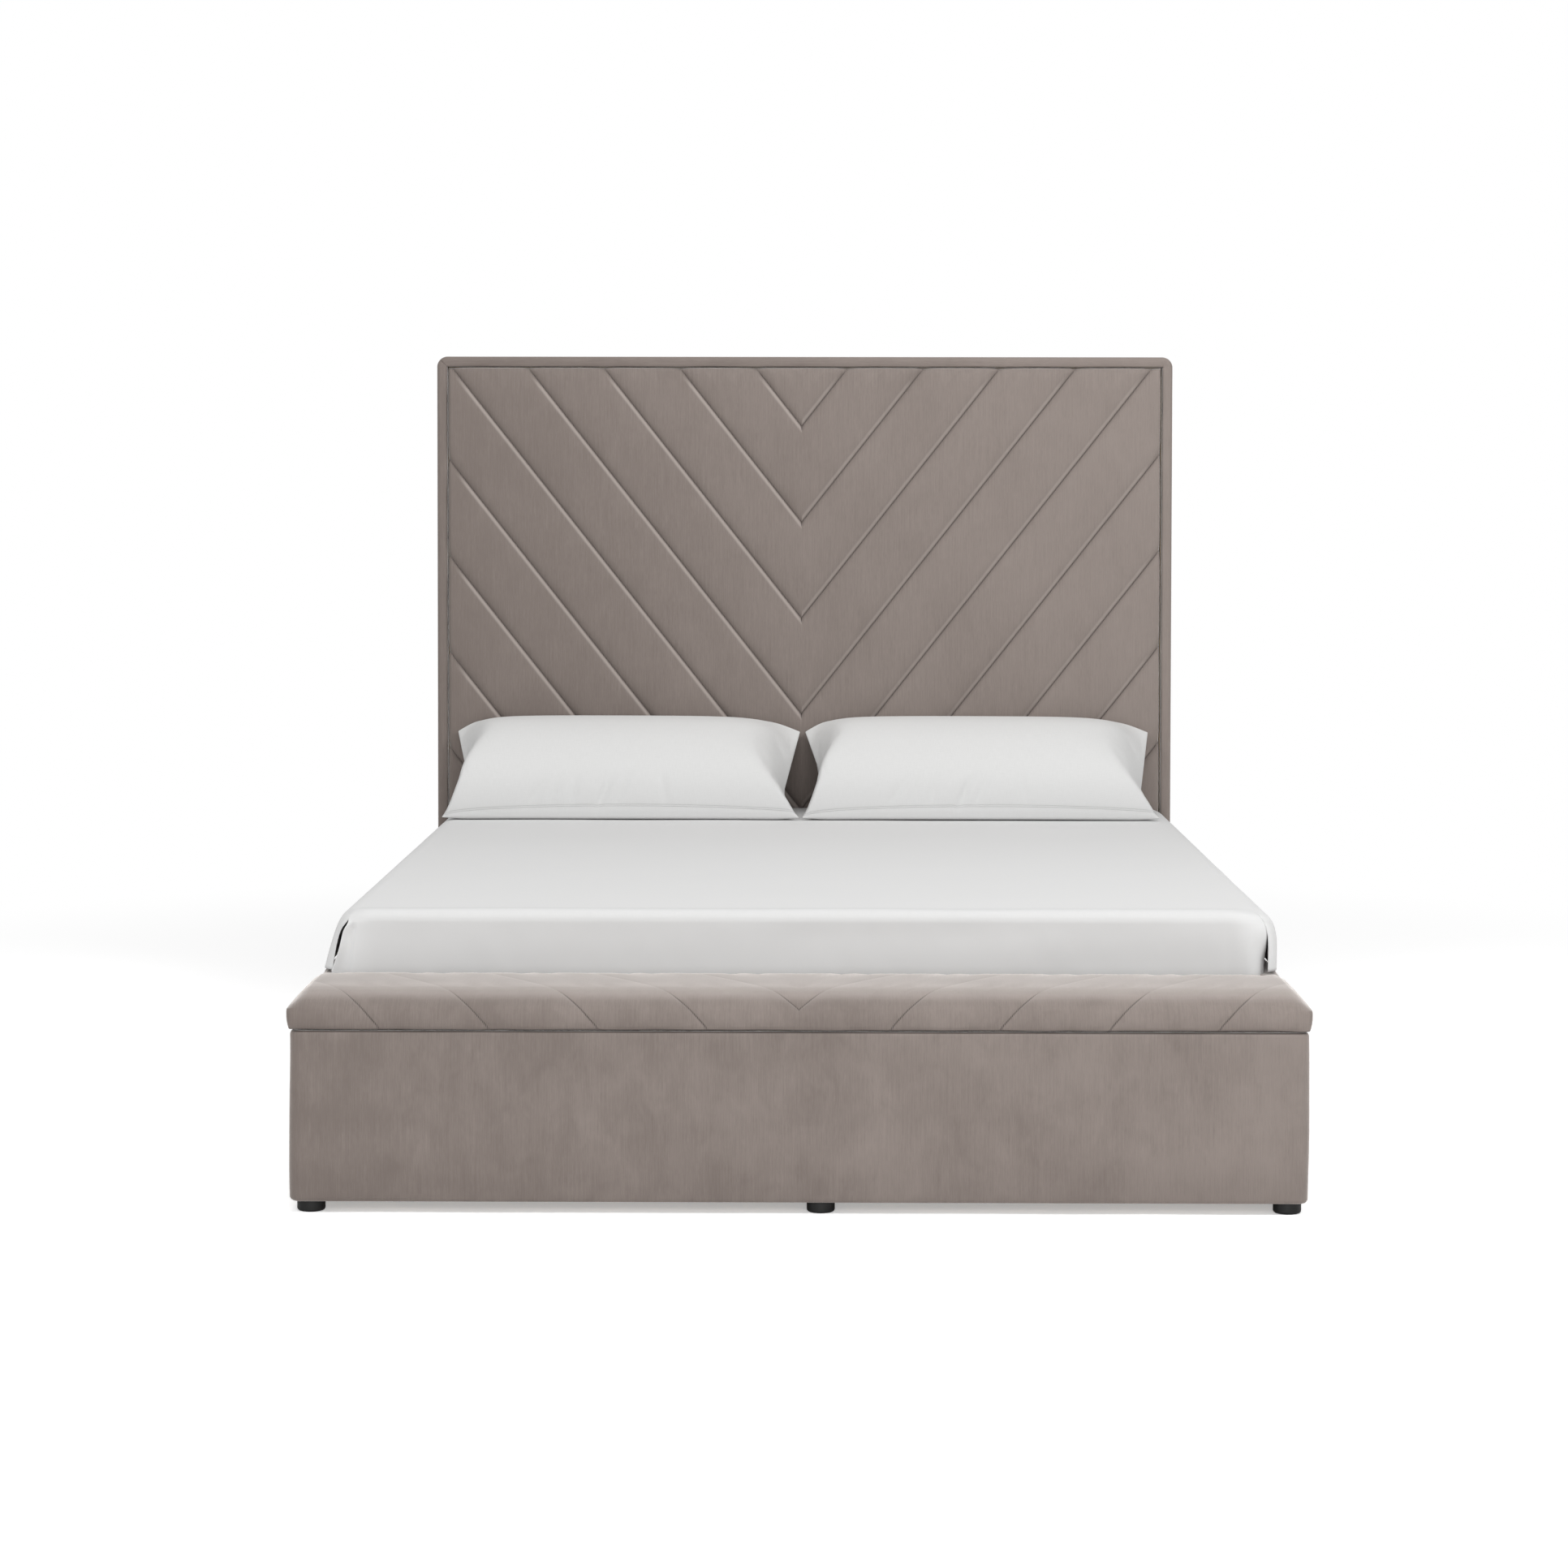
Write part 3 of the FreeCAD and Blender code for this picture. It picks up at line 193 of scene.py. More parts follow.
def white_floor():
    """White, with the shadow of the bed near it; farther off the camera sees an even white glow instead."""
    paint = Finish("white_floor", Base_Color=WHITE, Roughness=1.0, Specular_IOR_Level=0)
    seen = paint.node("LightPath", {}, {}, 0)
    glow = paint.node("Emission", {}, {"Color": WHITE, "Strength": seen * FLOOR_LIFT})
    both = paint.node("AddShader", {}, {0: glow, 1: Wire(paint, paint.shader.outputs[0])})
    where = paint.place(FLOOR_STRETCH)
    far = paint.node("VectorMath", {"operation": "LENGTH"}, {0: where}, 1).over(*FLOOR_LIT)
    plain = paint.node("Emission", {}, {"Color": WHITE, "Strength": 1.0})
    paint.feed(paint.end.inputs["Surface"], paint.node("MixShader", {}, {0: far * seen, 1: both, 2: plain}))
    return paint.material


def mesh_object(name, points, faces):
    """A smooth mesh from an array of points and a list of faces, linked to the scene."""
    mesh = bpy.data.meshes.new(name)
    mesh.from_pydata(points.tolist(), [], faces)
    mesh.polygons.foreach_set("use_smooth", np.ones(len(mesh.polygons), bool))
    made = bpy.data.objects.new(name, mesh)
    bpy.context.scene.collection.objects.link(made)
    return made


floor_corners = FLOOR_HALF * np.array([[-1, -1, 0], [1, -1, 0], [1, 1, 0], [-1, 1, 0]])
floor = mesh_object("floor", floor_corners, [[0, 1, 2, 3]])
floor.data.materials.append(white_floor())

world = bpy.data.worlds.new("room")
bpy.context.scene.world = world
world.use_nodes = True
air = world.node_tree
rays = air.nodes.new("ShaderNodeLightPath")
seen = rays.outputs["Is Camera Ray"]
for kind in ("Is Glossy Ray", "Is Transmission Ray"):
    either = air.nodes.new("ShaderNodeMath")
    either.operation = "MAXIMUM"
    air.links.new(seen, either.inputs[0])
    air.links.new(rays.outputs[kind], either.inputs[1])
    seen = either.outputs[0]
strength = air.nodes.new("ShaderNodeMapRange")
strength.inputs["To Min"].default_value = ROOM_LIGHT
strength.inputs["To Max"].default_value = 1
air.links.new(seen, strength.inputs["Value"])
air.nodes["Background"].inputs["Color"].default_value = WHITE
air.links.new(strength.outputs[0], air.nodes["Background"].inputs["Strength"])

# Chevron panel of the headboard: one piece of velvet over foam, sewn in V seams that meet a little left of the
# middle. Each channel between two seams is gently padded, the edge rolls back to the face board, and the cloth
# draws into a short upright pucker under the point of each V.
PANEL_LOW, PANEL_HIGH = np.array(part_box("headboard_chevron_pad"))
PANEL_MIDDLE, PANEL_FIRST, PANEL_PITCH = -0.006, 1.3145, 0.2168
PANEL_SEAMS = (PANEL_MIDDLE, PANEL_FIRST, PANEL_PITCH, 1.265)
PANEL_ROLL = 0.0050
PANEL_CUSHION = 0.045
PANEL_CHANNEL_RISE = 0.0092
PANEL_CROWN = 0.0024
PANEL_FOLD = 0.0070
PANEL_DRAW = 0.0009
PANEL_DRAW_WIDTH = 0.012
PANEL_CUSHION_SHARE = 0.07
PANEL_SINK = 0.0008
PUCKER_LENGTH = 0.017
PUCKER_WIDTH = 0.0024
PUCKER_DEPTH = 0.0026
PANEL_GAP_SHADE = 0.85
SEAM_WIDTH = 0.0016
# Painted highlight and painted shade beside the panel's seams, as lit from the right.
PAINTED_SEAM_LIGHT, PAINTED_SEAM_SHADE = (0.0050, 0.0038), (0.0050, 0.030)
PAINTED_SEAM_LEFT, PAINTED_SEAM_RIGHT = (0.62, -0.24), (0.52, -0.24)
VELVET_PALE = (0.240, 0.204, 0.185, 1)
VELVET_DARK = (0.162, 0.135, 0.121, 1)
# Colours of the painted highlight and the painted shade.
VELVET_PAINTED_LIGHT = (0.420, 0.372, 0.345, 1)
VELVET_PAINTED_SHADE = (0.090, 0.074, 0.067, 1)
VELVET_LAYERS = (((560, 13, 1), 3.0, 0.62, 0), ((1500, 60, 1), 2.0, 0.60, 0), ((230, 4.5, 1), 3.0, 0.60, 0),
                 ((6.5, 4.5, 1), 3.0, 0.55, 0.30), ((24, 17, 1), 3.0, 0.55, 0.60))
VELVET_SHEEN = 1.0
# Painted light from the right: how much lighter the velvet is painted towards +X.
PAINTED_SIDE_LIGHT = 0.30
VELVET_GLANCE = (1.0, 0.955, 0.925, 1)
# The dark of the sewn lines, also used for painted shade in gaps and creases.
SEAM_AND_GAP_SHADE_COLOUR = (0.060, 0.048, 0.043, 1)
THREAD_COLOUR = (0.300, 0.262, 0.240, 1)
STITCH_LENGTH = 0.0042
STITCH_BAND = (0.25, 0.40, 0.70, 0.88)
NAP_STREAKS, NAP_STRANDS, NAP_THREADS = 0.66, 0.20, 0.60
SEAM_LOOPS = np.array([0, 0.0012, 0.0028, 0.0052, 0.0088, 0.0140, 0.0210, 0.0310, 0.0450])
MIDDLE_LOOPS = np.array([0.0012, 0.0028, 0.0050, 0.0085])
END_LOOPS = np.array([0.0006, 0.0018, 0.0038, 0.0068, 0.0110, 0.0160])
PLAIN_STEP = 0.0095
ROLL_SHARES = np.array([0, 0.02, 0.08, 0.18, 0.34, 0.56, 0.80])
RIPPLE_PEAK = 3.5
PANEL_WAVE = (0.0009, 3, 0.21)
PANEL_DRAWN = 0.022


def smooth(value, low, high):
    """0 below low and 1 above high, with an S curve between them."""
    t = np.clip((value - low) / (high - low), 0, 1)
    return t * t * (3 - 2 * t)


def arc_quarter(distance, radius):
    """How far a rounded edge has risen, from 0 at the edge to 1 at a radius from it."""
    return np.sqrt(np.clip(1 - (1 - np.clip(distance / radius, 0, 1)) ** 2, 0, 1))


def ripple(a, b, height, seed, size):
    """Slow uneven waves of the height given: a sum of twelve sines in random directions, size metres long."""
    rng = np.random.default_rng(seed)
    angle = rng.uniform(0, 2 * np.pi, 12)
    pace = 2 * np.pi / (size * rng.uniform(0.6, 1.8, 12))
    phase = rng.uniform(0, 2 * np.pi, 12)
    wave = np.zeros(np.broadcast(a, b).shape)
    for turn, rate, shift in zip(angle, pace, phase):
        wave = wave + np.sin(rate * (a * np.cos(turn) + b * np.sin(turn)) + shift)
    return height * wave / RIPPLE_PEAK


def numbered(shape):
    """The number of each point in a grid of the shape given, row by row."""
    return np.arange(shape[0] * shape[1]).reshape(shape)


def grid_faces(index):
    """Quads between neighbours in a grid of numbered points."""
    return np.stack([index[:-1, :-1], index[:-1, 1:], index[1:, 1:], index[1:, :-1]], axis=-1).reshape(-1, 4)


def chevron_cloth(name, half, low, high, seams, roll, bends=()):
    """A flat cloth in (x, s), rows along V seams s = first + n * pitch + slope * |x - middle|, cut to a box.

    Rows crowd towards each seam and columns towards the middle and the ends. Edge loops follow the four sides and
    the bends, which are places along s.
    """
    middle, first, pitch, slope = seams
    near = SEAM_LOOPS * slope
    near = near[near < 0.46 * pitch]
    row = np.concatenate([near, [pitch / 2], pitch - near[:0:-1]])
    count = int(np.ceil((first - low + slope * (half + abs(middle))) / pitch)) + 1
    rows = np.concatenate([first + pitch * n + row for n in range(-count, int((high - first) / pitch) + 2)])
    plain = np.arange(0.0140, half - 0.018, PLAIN_STEP)
    side = np.concatenate([MIDDLE_LOOPS, plain, half - END_LOOPS[::-1], [half]])
    leftward, rightward = side[side < half + middle - 1e-4], side[side < half - middle - 1e-4]
    columns = np.concatenate([middle - leftward, [-half, middle, half], middle + rightward])
    columns = np.unique(np.round(columns, 5))
    x, w = np.meshgrid(columns, rows)
    cloth = mesh_object(name, np.stack([x, w + slope * np.abs(x - middle), 0 * x], axis=-1).reshape(-1, 3),
                        grid_faces(numbered(x.shape)).tolist())
    edit = bmesh.new()
    edit.from_mesh(cloth.data)
    cuts = [(place + way * step, -way, bool(step == 0), 1e-6) for place, way in ((low, 1), (high, -1))
            for step in roll * ROLL_SHARES]
    for place, way, clear, close in cuts + [(place, 1, False, 1e-5) for place in bends]:
        bmesh.ops.bisect_plane(edit, geom=edit.verts[:] + edit.edges[:] + edit.faces[:], dist=close,
                               plane_co=(0, place, 0), plane_no=(0, way, 0), clear_outer=clear)
    edit.to_mesh(cloth.data)
    edit.free()
    return cloth


def read_points(piece):
    """The mesh's vertices as an array with one row for each."""
    flat = np.zeros(3 * len(piece.data.vertices))
    piece.data.vertices.foreach_get("co", flat)
    return flat.reshape(-1, 3)


def write_points(piece, points):
    """Moves the mesh's vertices to the rows of an array."""
    piece.data.vertices.foreach_set("co", points.ravel())
    piece.data.update()


def cloth_map(piece, u, v, **fields):
    """Gives the mesh a UV map in metres of cloth, and its named numbers as attributes on its points."""
    u, v = np.ravel(u), np.ravel(v)
    layer = piece.data.uv_layers.new(name="cloth")
    corner = np.zeros(len(piece.data.loops), int)
    piece.data.loops.foreach_get("vertex_index", corner)
    layer.data.foreach_set("uv", np.stack([u[corner], v[corner]], axis=-1).ravel())
    for name, values in fields.items():
        piece.data.attributes.new(name, "FLOAT", "POINT").data.foreach_set(
            "value", np.ravel(values).astype(np.float32))


def seam_distance(x, s, seams):
    """Distance to the nearest V seam, the share of the way across the channel, and the way along the seam."""
    middle, first, pitch, slope = seams
    across = (s - first - slope * np.abs(x - middle)) / pitch
    share = across - np.floor(across)
    lean = np.hypot(1, slope)
    return np.minimum(share, 1 - share) * pitch / lean, share, np.abs(x - middle) * lean


def closed_back(piece, loops):
    """Closes an open cloth: its rim is carried through the rings that each loop function gives, then filled."""
    edit = bmesh.new()
    edit.from_mesh(piece.data)
    layer = edit.loops.layers.uv.verify()
    for ring in loops:
        rim = [edge for edge in edit.edges if len(edge.link_faces) == 1]
        made = bmesh.ops.extrude_edge_only(edit, edges=rim)["geom"]
        for vertex in [item for item in made if isinstance(item, bmesh.types.BMVert)]:
            vertex.co = ring(vertex.co)
        for face in [item for item in made if isinstance(item, bmesh.types.BMFace)]:
            face.smooth = True
            for loop in face.loops:
                loop[layer].uv = (loop.vert.co.x, loop.vert.co.y + loop.vert.co.z)
    rim = [edge for edge in edit.edges if len(edge.link_faces) == 1]
    bmesh.ops.holes_fill(edit, edges=rim, sides=0)
    bmesh.ops.triangulate(edit, faces=[face for face in edit.faces if len(face.verts) > 4])
    bmesh.ops.recalc_face_normals(edit, faces=edit.faces[:])
    edit.to_mesh(piece.data)
    edit.free()


def velvet(name, blotches, side_light):
    """Brushed velvet: fine streaks along the pile, soft blotches where it lies another way, dark sewn lines.

    The colour is painted lighter towards +X as painted light from the right side, the turned field paints a
    highlight and shade, and the seam field also paints shade in gaps and creases.
    """
    paint = Finish(name, Sheen_Weight=VELVET_SHEEN, Sheen_Roughness=0.34, Sheen_Tint=VELVET_GLANCE,
                   Specular_IOR_Level=0.18)
    streaks, threads, strands, blotch, patch = (paint.noise(*layer, "UV") for layer in VELVET_LAYERS)
    nap = (streaks - 0.5) * NAP_STREAKS + (strands - 0.5) * NAP_STRANDS + (threads - 0.5) * NAP_THREADS
    # Painted light: the colour grows lighter towards +X, as if lit more from the right.
    lean = paint.node("SeparateXYZ", {}, {0: paint.place()}, 0) * side_light
    tone = nap + (blotch - 0.5) * blotches + (patch - 0.5) * (blotches * 0.6) + lean
    colour = paint.mix((tone + 0.5).over(0.05, 0.95), VELVET_DARK, VELVET_PALE)
    # Painted highlight where the turned field is over 0, and painted shade where it is under.
    colour = paint.shade(colour, "turned", VELVET_PAINTED_LIGHT, VELVET_PAINTED_SHADE)
    thread = ((paint.field("stitch") / STITCH_LENGTH) % 1).band(*STITCH_BAND)
    line = paint.field("seam").over(0.18, 0.80)
    sewn = paint.mix(thread * 0.55, SEAM_AND_GAP_SHADE_COLOUR, THREAD_COLOUR)
    pile = streaks * 0.5 + threads * 0.5 + (thread * line) * 0.8
    return paint.surface(Base_Color=paint.mix(line * 0.86, colour, sewn),
                         Roughness=0.80 + (streaks - 0.5) * 0.18,
                         Normal=paint.bump(pile, 0.0010, 0.45))


# Both velvets carry painted side light, lighter towards +X.
smooth_velvet = velvet("smooth_velvet", 0.34, PAINTED_SIDE_LIGHT)
brushed_velvet = velvet("brushed_velvet", 0.85, PAINTED_SIDE_LIGHT * 0.75)


def seam_painted_light(x, share, seams):
    """Painted highlight on the lit side of a seam, below it on the left and above on the right; painted shade
    opposite.
    """
    middle, _, pitch, slope = seams
    lean = np.hypot(1, slope)
    above, below = share * pitch / lean, (1 - share) * pitch / lean
    lit, shaded = np.where(x < middle, (below, above), (above, below))
    pale, deep = (np.where(x < middle, *pair) for pair in zip(PAINTED_SEAM_LEFT, PAINTED_SEAM_RIGHT))
    pale = pale * np.exp(-((lit - PAINTED_SEAM_LIGHT[0]) / PAINTED_SEAM_LIGHT[1]) ** 2)
    return pale + deep * (0.75 * np.exp(-shaded / PAINTED_SEAM_SHADE[0]) + 0.25 * np.exp(-shaded / PAINTED_SEAM_SHADE[1]))


def dress(piece, material, body, slot, *stands_for):
    """Gives a new piece its finish, the body that it rides on and the nodes that it stands for."""
    piece.data.materials.clear()
    piece.data.materials.append(material)
    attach(piece, body)
    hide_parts(*stands_for)
    return piece


def chevron_panel():
    """Depth over the face board: an edge roll, times the board's foam, a low crown and a fold at each seam."""
    half = PANEL_HIGH[0]
    low, high = PANEL_LOW[2], PANEL_HIGH[2]
    panel = chevron_cloth("headboard_panel", half, low, high, PANEL_SEAMS, PANEL_ROLL)
    x, z, _ = read_points(panel).T
    gap, share, along = seam_distance(x, z, PANEL_SEAMS)
    full = PANEL_HIGH[1] - PANEL_LOW[1]
    rise = PANEL_CHANNEL_RISE * (1 - np.exp(-gap / PANEL_FOLD)) + PANEL_CROWN * np.sin(np.pi * share)
    below = (PANEL_FIRST - z) % PANEL_PITCH
    pucker = np.exp(-((x - PANEL_MIDDLE) / PUCKER_WIDTH) ** 2) * (1 - smooth(below, 0.004, PUCKER_LENGTH))
    pucker = np.where(below < PUCKER_LENGTH, pucker, 0)
    edge = np.minimum(np.minimum(x + half, half - x), np.minimum(z - low, high - z))
    cushion = 1 - PANEL_CUSHION_SHARE * (1 - arc_quarter(edge, PANEL_CUSHION))
    roll = arc_quarter(edge, PANEL_ROLL) * cushion
    slow = ripple(x, z, *PANEL_WAVE)
    depth = full - PANEL_CHANNEL_RISE - PANEL_CROWN + rise - PUCKER_DEPTH * pucker + slow - PANEL_SINK
    draw = PANEL_DRAW * np.exp(-(gap / PANEL_DRAW_WIDTH) ** 2) * (1 - smooth(edge, 0, PANEL_DRAWN))
    inward_x = np.where(np.minimum(x + half, half - x) < PANEL_DRAWN, -np.sign(x), 0)
    inward_z = np.where(np.minimum(z - low, high - z) < PANEL_DRAWN, np.sign((low + high) / 2 - z), 0)
    y = PANEL_HIGH[1] - depth * roll
    write_points(panel, np.stack([x + draw * inward_x, y, z + draw * inward_z], axis=-1))
    # Dark sewn seam lines, with painted shade in each pucker's crease.
    sewn = np.exp(-(gap / SEAM_WIDTH) ** 2) + 0.75 * pucker
    # Painted highlight and painted shade beside each seam.
    turned = seam_painted_light(x, share, PANEL_SEAMS) * smooth(edge, 0.004, 0.050)
    sewn = np.clip(sewn, 0, 1) * smooth(edge, 0.002, 0.012)
    # Painted shade in the gap where the panel meets the border.
    painted_gap_shade = PANEL_GAP_SHADE * (1 - smooth(edge, 0.0002, 0.0022))
    cloth_map(panel, x, z, seam=sewn + painted_gap_shade, stitch=along, turned=turned)
    closed_back(panel, [])
    return panel


panel = dress(chevron_panel(), smooth_velvet, "bed", "velvet", "headboard_chevron_pad")

# Lid of the bench: velvet over foam on a plywood board, sewn in the same V seams as the headboard, which run up
# its front and on over its top. It is pointed at both ends. The board, its lining and the hinges are the CAD's.
LID_LOW, LID_HIGH = np.array(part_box("lid_cushion"))
LID_BOARD_LOW, LID_BOARD_HIGH = np.array(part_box("lid_board"))
LID_SEAMS = (0, 0.0425, 0.2520, 1.42)
LID_DRAWN_IN = 0.007
LID_FRONT_ROUND = (0.112, 0.046)
LID_REAR_ROUND = (0.0115, 0.012)
LID_TOP_LINE = ((-1.0900, 0.3606), (-1.0150, 0.3606), (-0.9850, 0.3577), (-0.9500, 0.3502))
LID_FRONT_BENDS = np.array([0.008, 0.012, 0.018, 0.026, 0.036, 0.050, 0.066, 0.085])
LID_REAR_BENDS = np.linspace(-0.012, 0.014, 12)
LID_SHOULDER = 0.3598
LID_REAR_IN = 0.0015
LID_TIP = 0.331
LID_TOP_END = 0.034
LID_LOW_END = 0.006
LID_CORNER = 0.012
LID_END_LEAN = 0.0050
LID_SEAM_DEPTH = 0.0034
LID_FOLD = 0.0060
LID_PUFF = 0.0018
LID_TOP_CALM = 0.86
LID_TOP_START = (0.052, 0.100)
LID_END_CALM, LID_RIM_CALM = (0.004, 0.030), (0, 0.012)
LID_END_SHARES = (0.10, 0.20)
# Painted highlight over the lid's front bend: its strength and its band along the cloth.
LID_PAINTED_HIGHLIGHT = 0.44
LID_PAINTED_HIGHLIGHT_BAND = (0.048, 0.085, 0.13, 0.20)
LID_END_SEAM = 0.0050
LID_WAVE = (0.0008, 11, 0.16)
LID_EDGE_WAVE = (0.0007, 5, 0.12)
LID_GAP_SHADE = 0.9
OVERLAP = 0.0005


def quarter(x, y, wide, tall, first, last, steps):
    """Points on an ellipse round (x, y), between two angles that are given in quarter turns."""
    turn = np.linspace(first, last, steps) * np.pi / 2
    return np.stack([x + wide * np.cos(turn), y + tall * np.sin(turn)], axis=-1)


def walk_along(path):
    """The way along a path of points, from its first one."""
    return np.concatenate([[0], np.cumsum(np.linalg.norm(np.diff(path, axis=0), axis=1))])


def lid_profile():
    """The lid's section from its front lower edge over the top to its rear lower edge, as rows of (y, z).

    A front that leans out, a quarter of an ellipse, a flat top that falls behind, a second quarter and a rear
    face.
    """
    front, low = LID_LOW[1:]
    rear = LID_HIGH[1] - LID_REAR_IN
    rise = np.linspace(0, 1, 20)[:-1]
    span, tall = LID_FRONT_ROUND
    lead = np.stack([front + LID_DRAWN_IN * (1 - rise) ** 2, low + rise * (LID_SHOULDER - tall - low)], axis=-1)
    bend = quarter(front + span, LID_SHOULDER - tall, span, tall, 2, 1, 30)
    reach, drop = LID_REAR_ROUND
    line = np.array([(front + span, LID_SHOULDER), *LID_TOP_LINE])
    across = np.linspace(line[0, 0], line[-1, 0], 160)
    even = np.ones(9) / 9
    height = np.convolve(np.pad(np.interp(across, *line.T), 4, mode="edge"), even, mode="valid")
    flat = np.stack([across, height], axis=-1)[1:-1]
    back = line[-1, 1]
    heel = quarter(rear - reach, back - drop, reach, drop, 1, 0, 30)
    tail = np.stack([rear + 0 * rise[1:], low + (1 - rise[1:]) * (back - drop - low)], axis=-1)
    return np.vstack([lead, bend, flat, heel, tail, [rear, low]])


def bench_lid():
    """The flat cloth wrapped over the section, with its ends rounded and its seams folded in."""
    section = lid_profile()
    walk = walk_along(section)
    half = LID_HIGH[0]
    turns = [np.interp(place, section[:80, 0], walk[:80]) for place in LID_LOW[1] + LID_FRONT_BENDS]
    heel = walk[-1] - (LID_TOP_LINE[-1][1] - LID_LOW[2]) + LID_REAR_BENDS
    lid = chevron_cloth("bench_lid", half, 0, walk[-1], LID_SEAMS, LID_CORNER, np.concatenate([turns, heel]))
    x, s, _ = read_points(lid).T
    gap, share, along = seam_distance(x, s, LID_SEAMS)
    y, z = (np.interp(s, walk, line) for line in section.T)
    ahead, above = (np.interp(s + 0.002, walk, line) - np.interp(s - 0.002, walk, line) for line in section.T)
    size = np.maximum(np.hypot(ahead, above), 1e-9)
    out_y, out_z = -above / size, ahead / size
    end = half - np.abs(x)
    rim = np.minimum(s, walk[-1] - s)
    calm = smooth(end, *LID_END_CALM) * smooth(rim, *LID_RIM_CALM)
    relief = LID_PUFF * np.sin(np.pi * share) - LID_SEAM_DEPTH * np.exp(-gap / LID_FOLD) - LID_PUFF
    flat = 1 - LID_TOP_CALM * smooth(s, *LID_TOP_START)
    relief = (relief + ripple(x, s, *LID_WAVE)) * calm * flat
    y, z = y + out_y * relief, z + out_z * relief
    slope = np.sin(np.pi / 2 * np.clip(end / LID_TOP_END, 0, 1))
    upper, lower = LID_END_SHARES
    lower += (1 - lower) * arc_quarter(end, LID_LOW_END)
    tall = np.where(z > LID_TIP, upper + (1 - upper) * slope, lower)
    z = LID_TIP + (z - LID_TIP) * tall
    centre = (LID_LOW[1] + LID_HIGH[1]) / 2
    plan = (LID_CORNER * (1 - arc_quarter(end, LID_CORNER))) * np.abs(y - centre) / (LID_HIGH[1] - centre)
    y = y - np.sign(y - centre) * plan
    z = z + ripple(x, 0 * x, *LID_EDGE_WAVE) * (1 - smooth(rim, 0, 0.03)) * smooth(end, 0, 0.02)
    write_points(lid, np.stack([x, y, z], axis=-1))
    sewn = np.exp(-(gap / SEAM_WIDTH) ** 2) * smooth(end, 0.001, 0.006) * (0.4 + 0.6 * flat)
    capped = np.exp(-((end - LID_END_SEAM) / SEAM_WIDTH) ** 2)
    capped *= 1 - smooth(z, LID_TIP + 0.006, LID_TIP + 0.018)
    # Painted highlight in a band over the rounded front of the lid.
    start, full, fade, stop = LID_PAINTED_HIGHLIGHT_BAND
    turned = LID_PAINTED_HIGHLIGHT * smooth(s, start, full) * (1 - smooth(s, fade, stop))
    # Painted shade in the gaps along the lid's lower edges.
    painted_gap_shade = LID_GAP_SHADE * (1 - smooth(rim, 0.0006, 0.0034))
    cloth_map(lid, x, s, seam=np.clip(sewn + 0.9 * capped + painted_gap_shade, 0, 1), stitch=along, turned=turned)

    def ring(inset, low_y, high_y, height):
        wide = half - inset
        return lambda co: (np.clip(co.x, -wide, wide), np.clip(co.y, low_y, high_y), height)

    low_y = (LID_LOW[1] + LID_DRAWN_IN + 2 * OVERLAP, LID_HIGH[1] - 2 * OVERLAP)
    board_y = (LID_BOARD_LOW[1] + OVERLAP, LID_BOARD_HIGH[1] - OVERLAP)
    inset = half - LID_BOARD_HIGH[0] + OVERLAP
    closed_back(lid, [ring(LID_END_LEAN, *low_y, LID_LOW[2]), ring(inset, *board_y, LID_LOW[2]),
                      ring(inset, *board_y, LID_BOARD_HIGH[2] - OVERLAP)])
    return lid


lid = dress(bench_lid(), brushed_velvet, "lid", "velvet", "lid_cushion")

# Cover of the bench: one strip of velvet over thin foam, pulled round the front and both ends and stapled under
# the panels. Its upright corners are round, and the cloth puckers a little where it is folded in below.
COVER_LOW, COVER_HIGH = np.array(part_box("bench_front_cover"))
COVER_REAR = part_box("bench_end_cover_right")[1][1]
COVER_CORNER = 0.022
COVER_THICK = 0.0195
COVER_RIM = 0.007
COVER_CROWN = 0.0016
COVER_SAG = 0.004
# Painted shade towards the bottom of the cover.
COVER_PAINTED_SHADE = -0.26
COVER_WAVE = (0.0008, 21, 0.24)
COVER_PLEAT_WIDTH, COVER_PLEAT_DEPTH = 0.0045, 0.0016
COVER_PLEATS = ((0, 0.155, 0.45, 0.050), (0, 0.178, 0.75, 0.038), (0, 0.125, 0.2, 0.034),
                (1, -0.06, -0.3, 0.030))
END_ROLL = 0.004
END_ROWS = np.array([0, 0.0003, 0.0010, 0.0022, 0.0040, 0.0070])


def rounded_path(points, radius, step, corner_steps=10):
    """A path in a plane of straight stretches joined by arcs: places, outward normals and the way along it."""
    places, normals = [], []
    last = points[0]
    for number in range(1, len(points)):
        way = (points[number] - points[number - 1]) / np.linalg.norm(points[number] - points[number - 1])
        side = np.array([way[1], -way[0]])
        final = number == len(points) - 1
        stop = points[number] - (0 if final else radius) * way
        count = max(2, int(np.ceil(np.linalg.norm(stop - last) / step)) + 1)
        run = np.linspace(0, 1, count)[:, None]
        places.append(last + run * (stop - last))
        normals.append(np.repeat(side[None], count, axis=0))
        if not final:
            onward = (points[number + 1] - points[number]) / np.linalg.norm(points[number + 1] - points[number])
            turn = np.linspace(0, np.pi / 2, corner_steps + 2)[1:-1, None]
            centre = stop - side * radius
            places.append(centre + radius * (np.cos(turn) * side + np.sin(turn) * way))
            normals.append(np.cos(turn) * side + np.sin(turn) * way)
            last = points[number] + radius * onward
    places, normals = np.concatenate(places), np.concatenate(normals)
    return places, normals, walk_along(places)


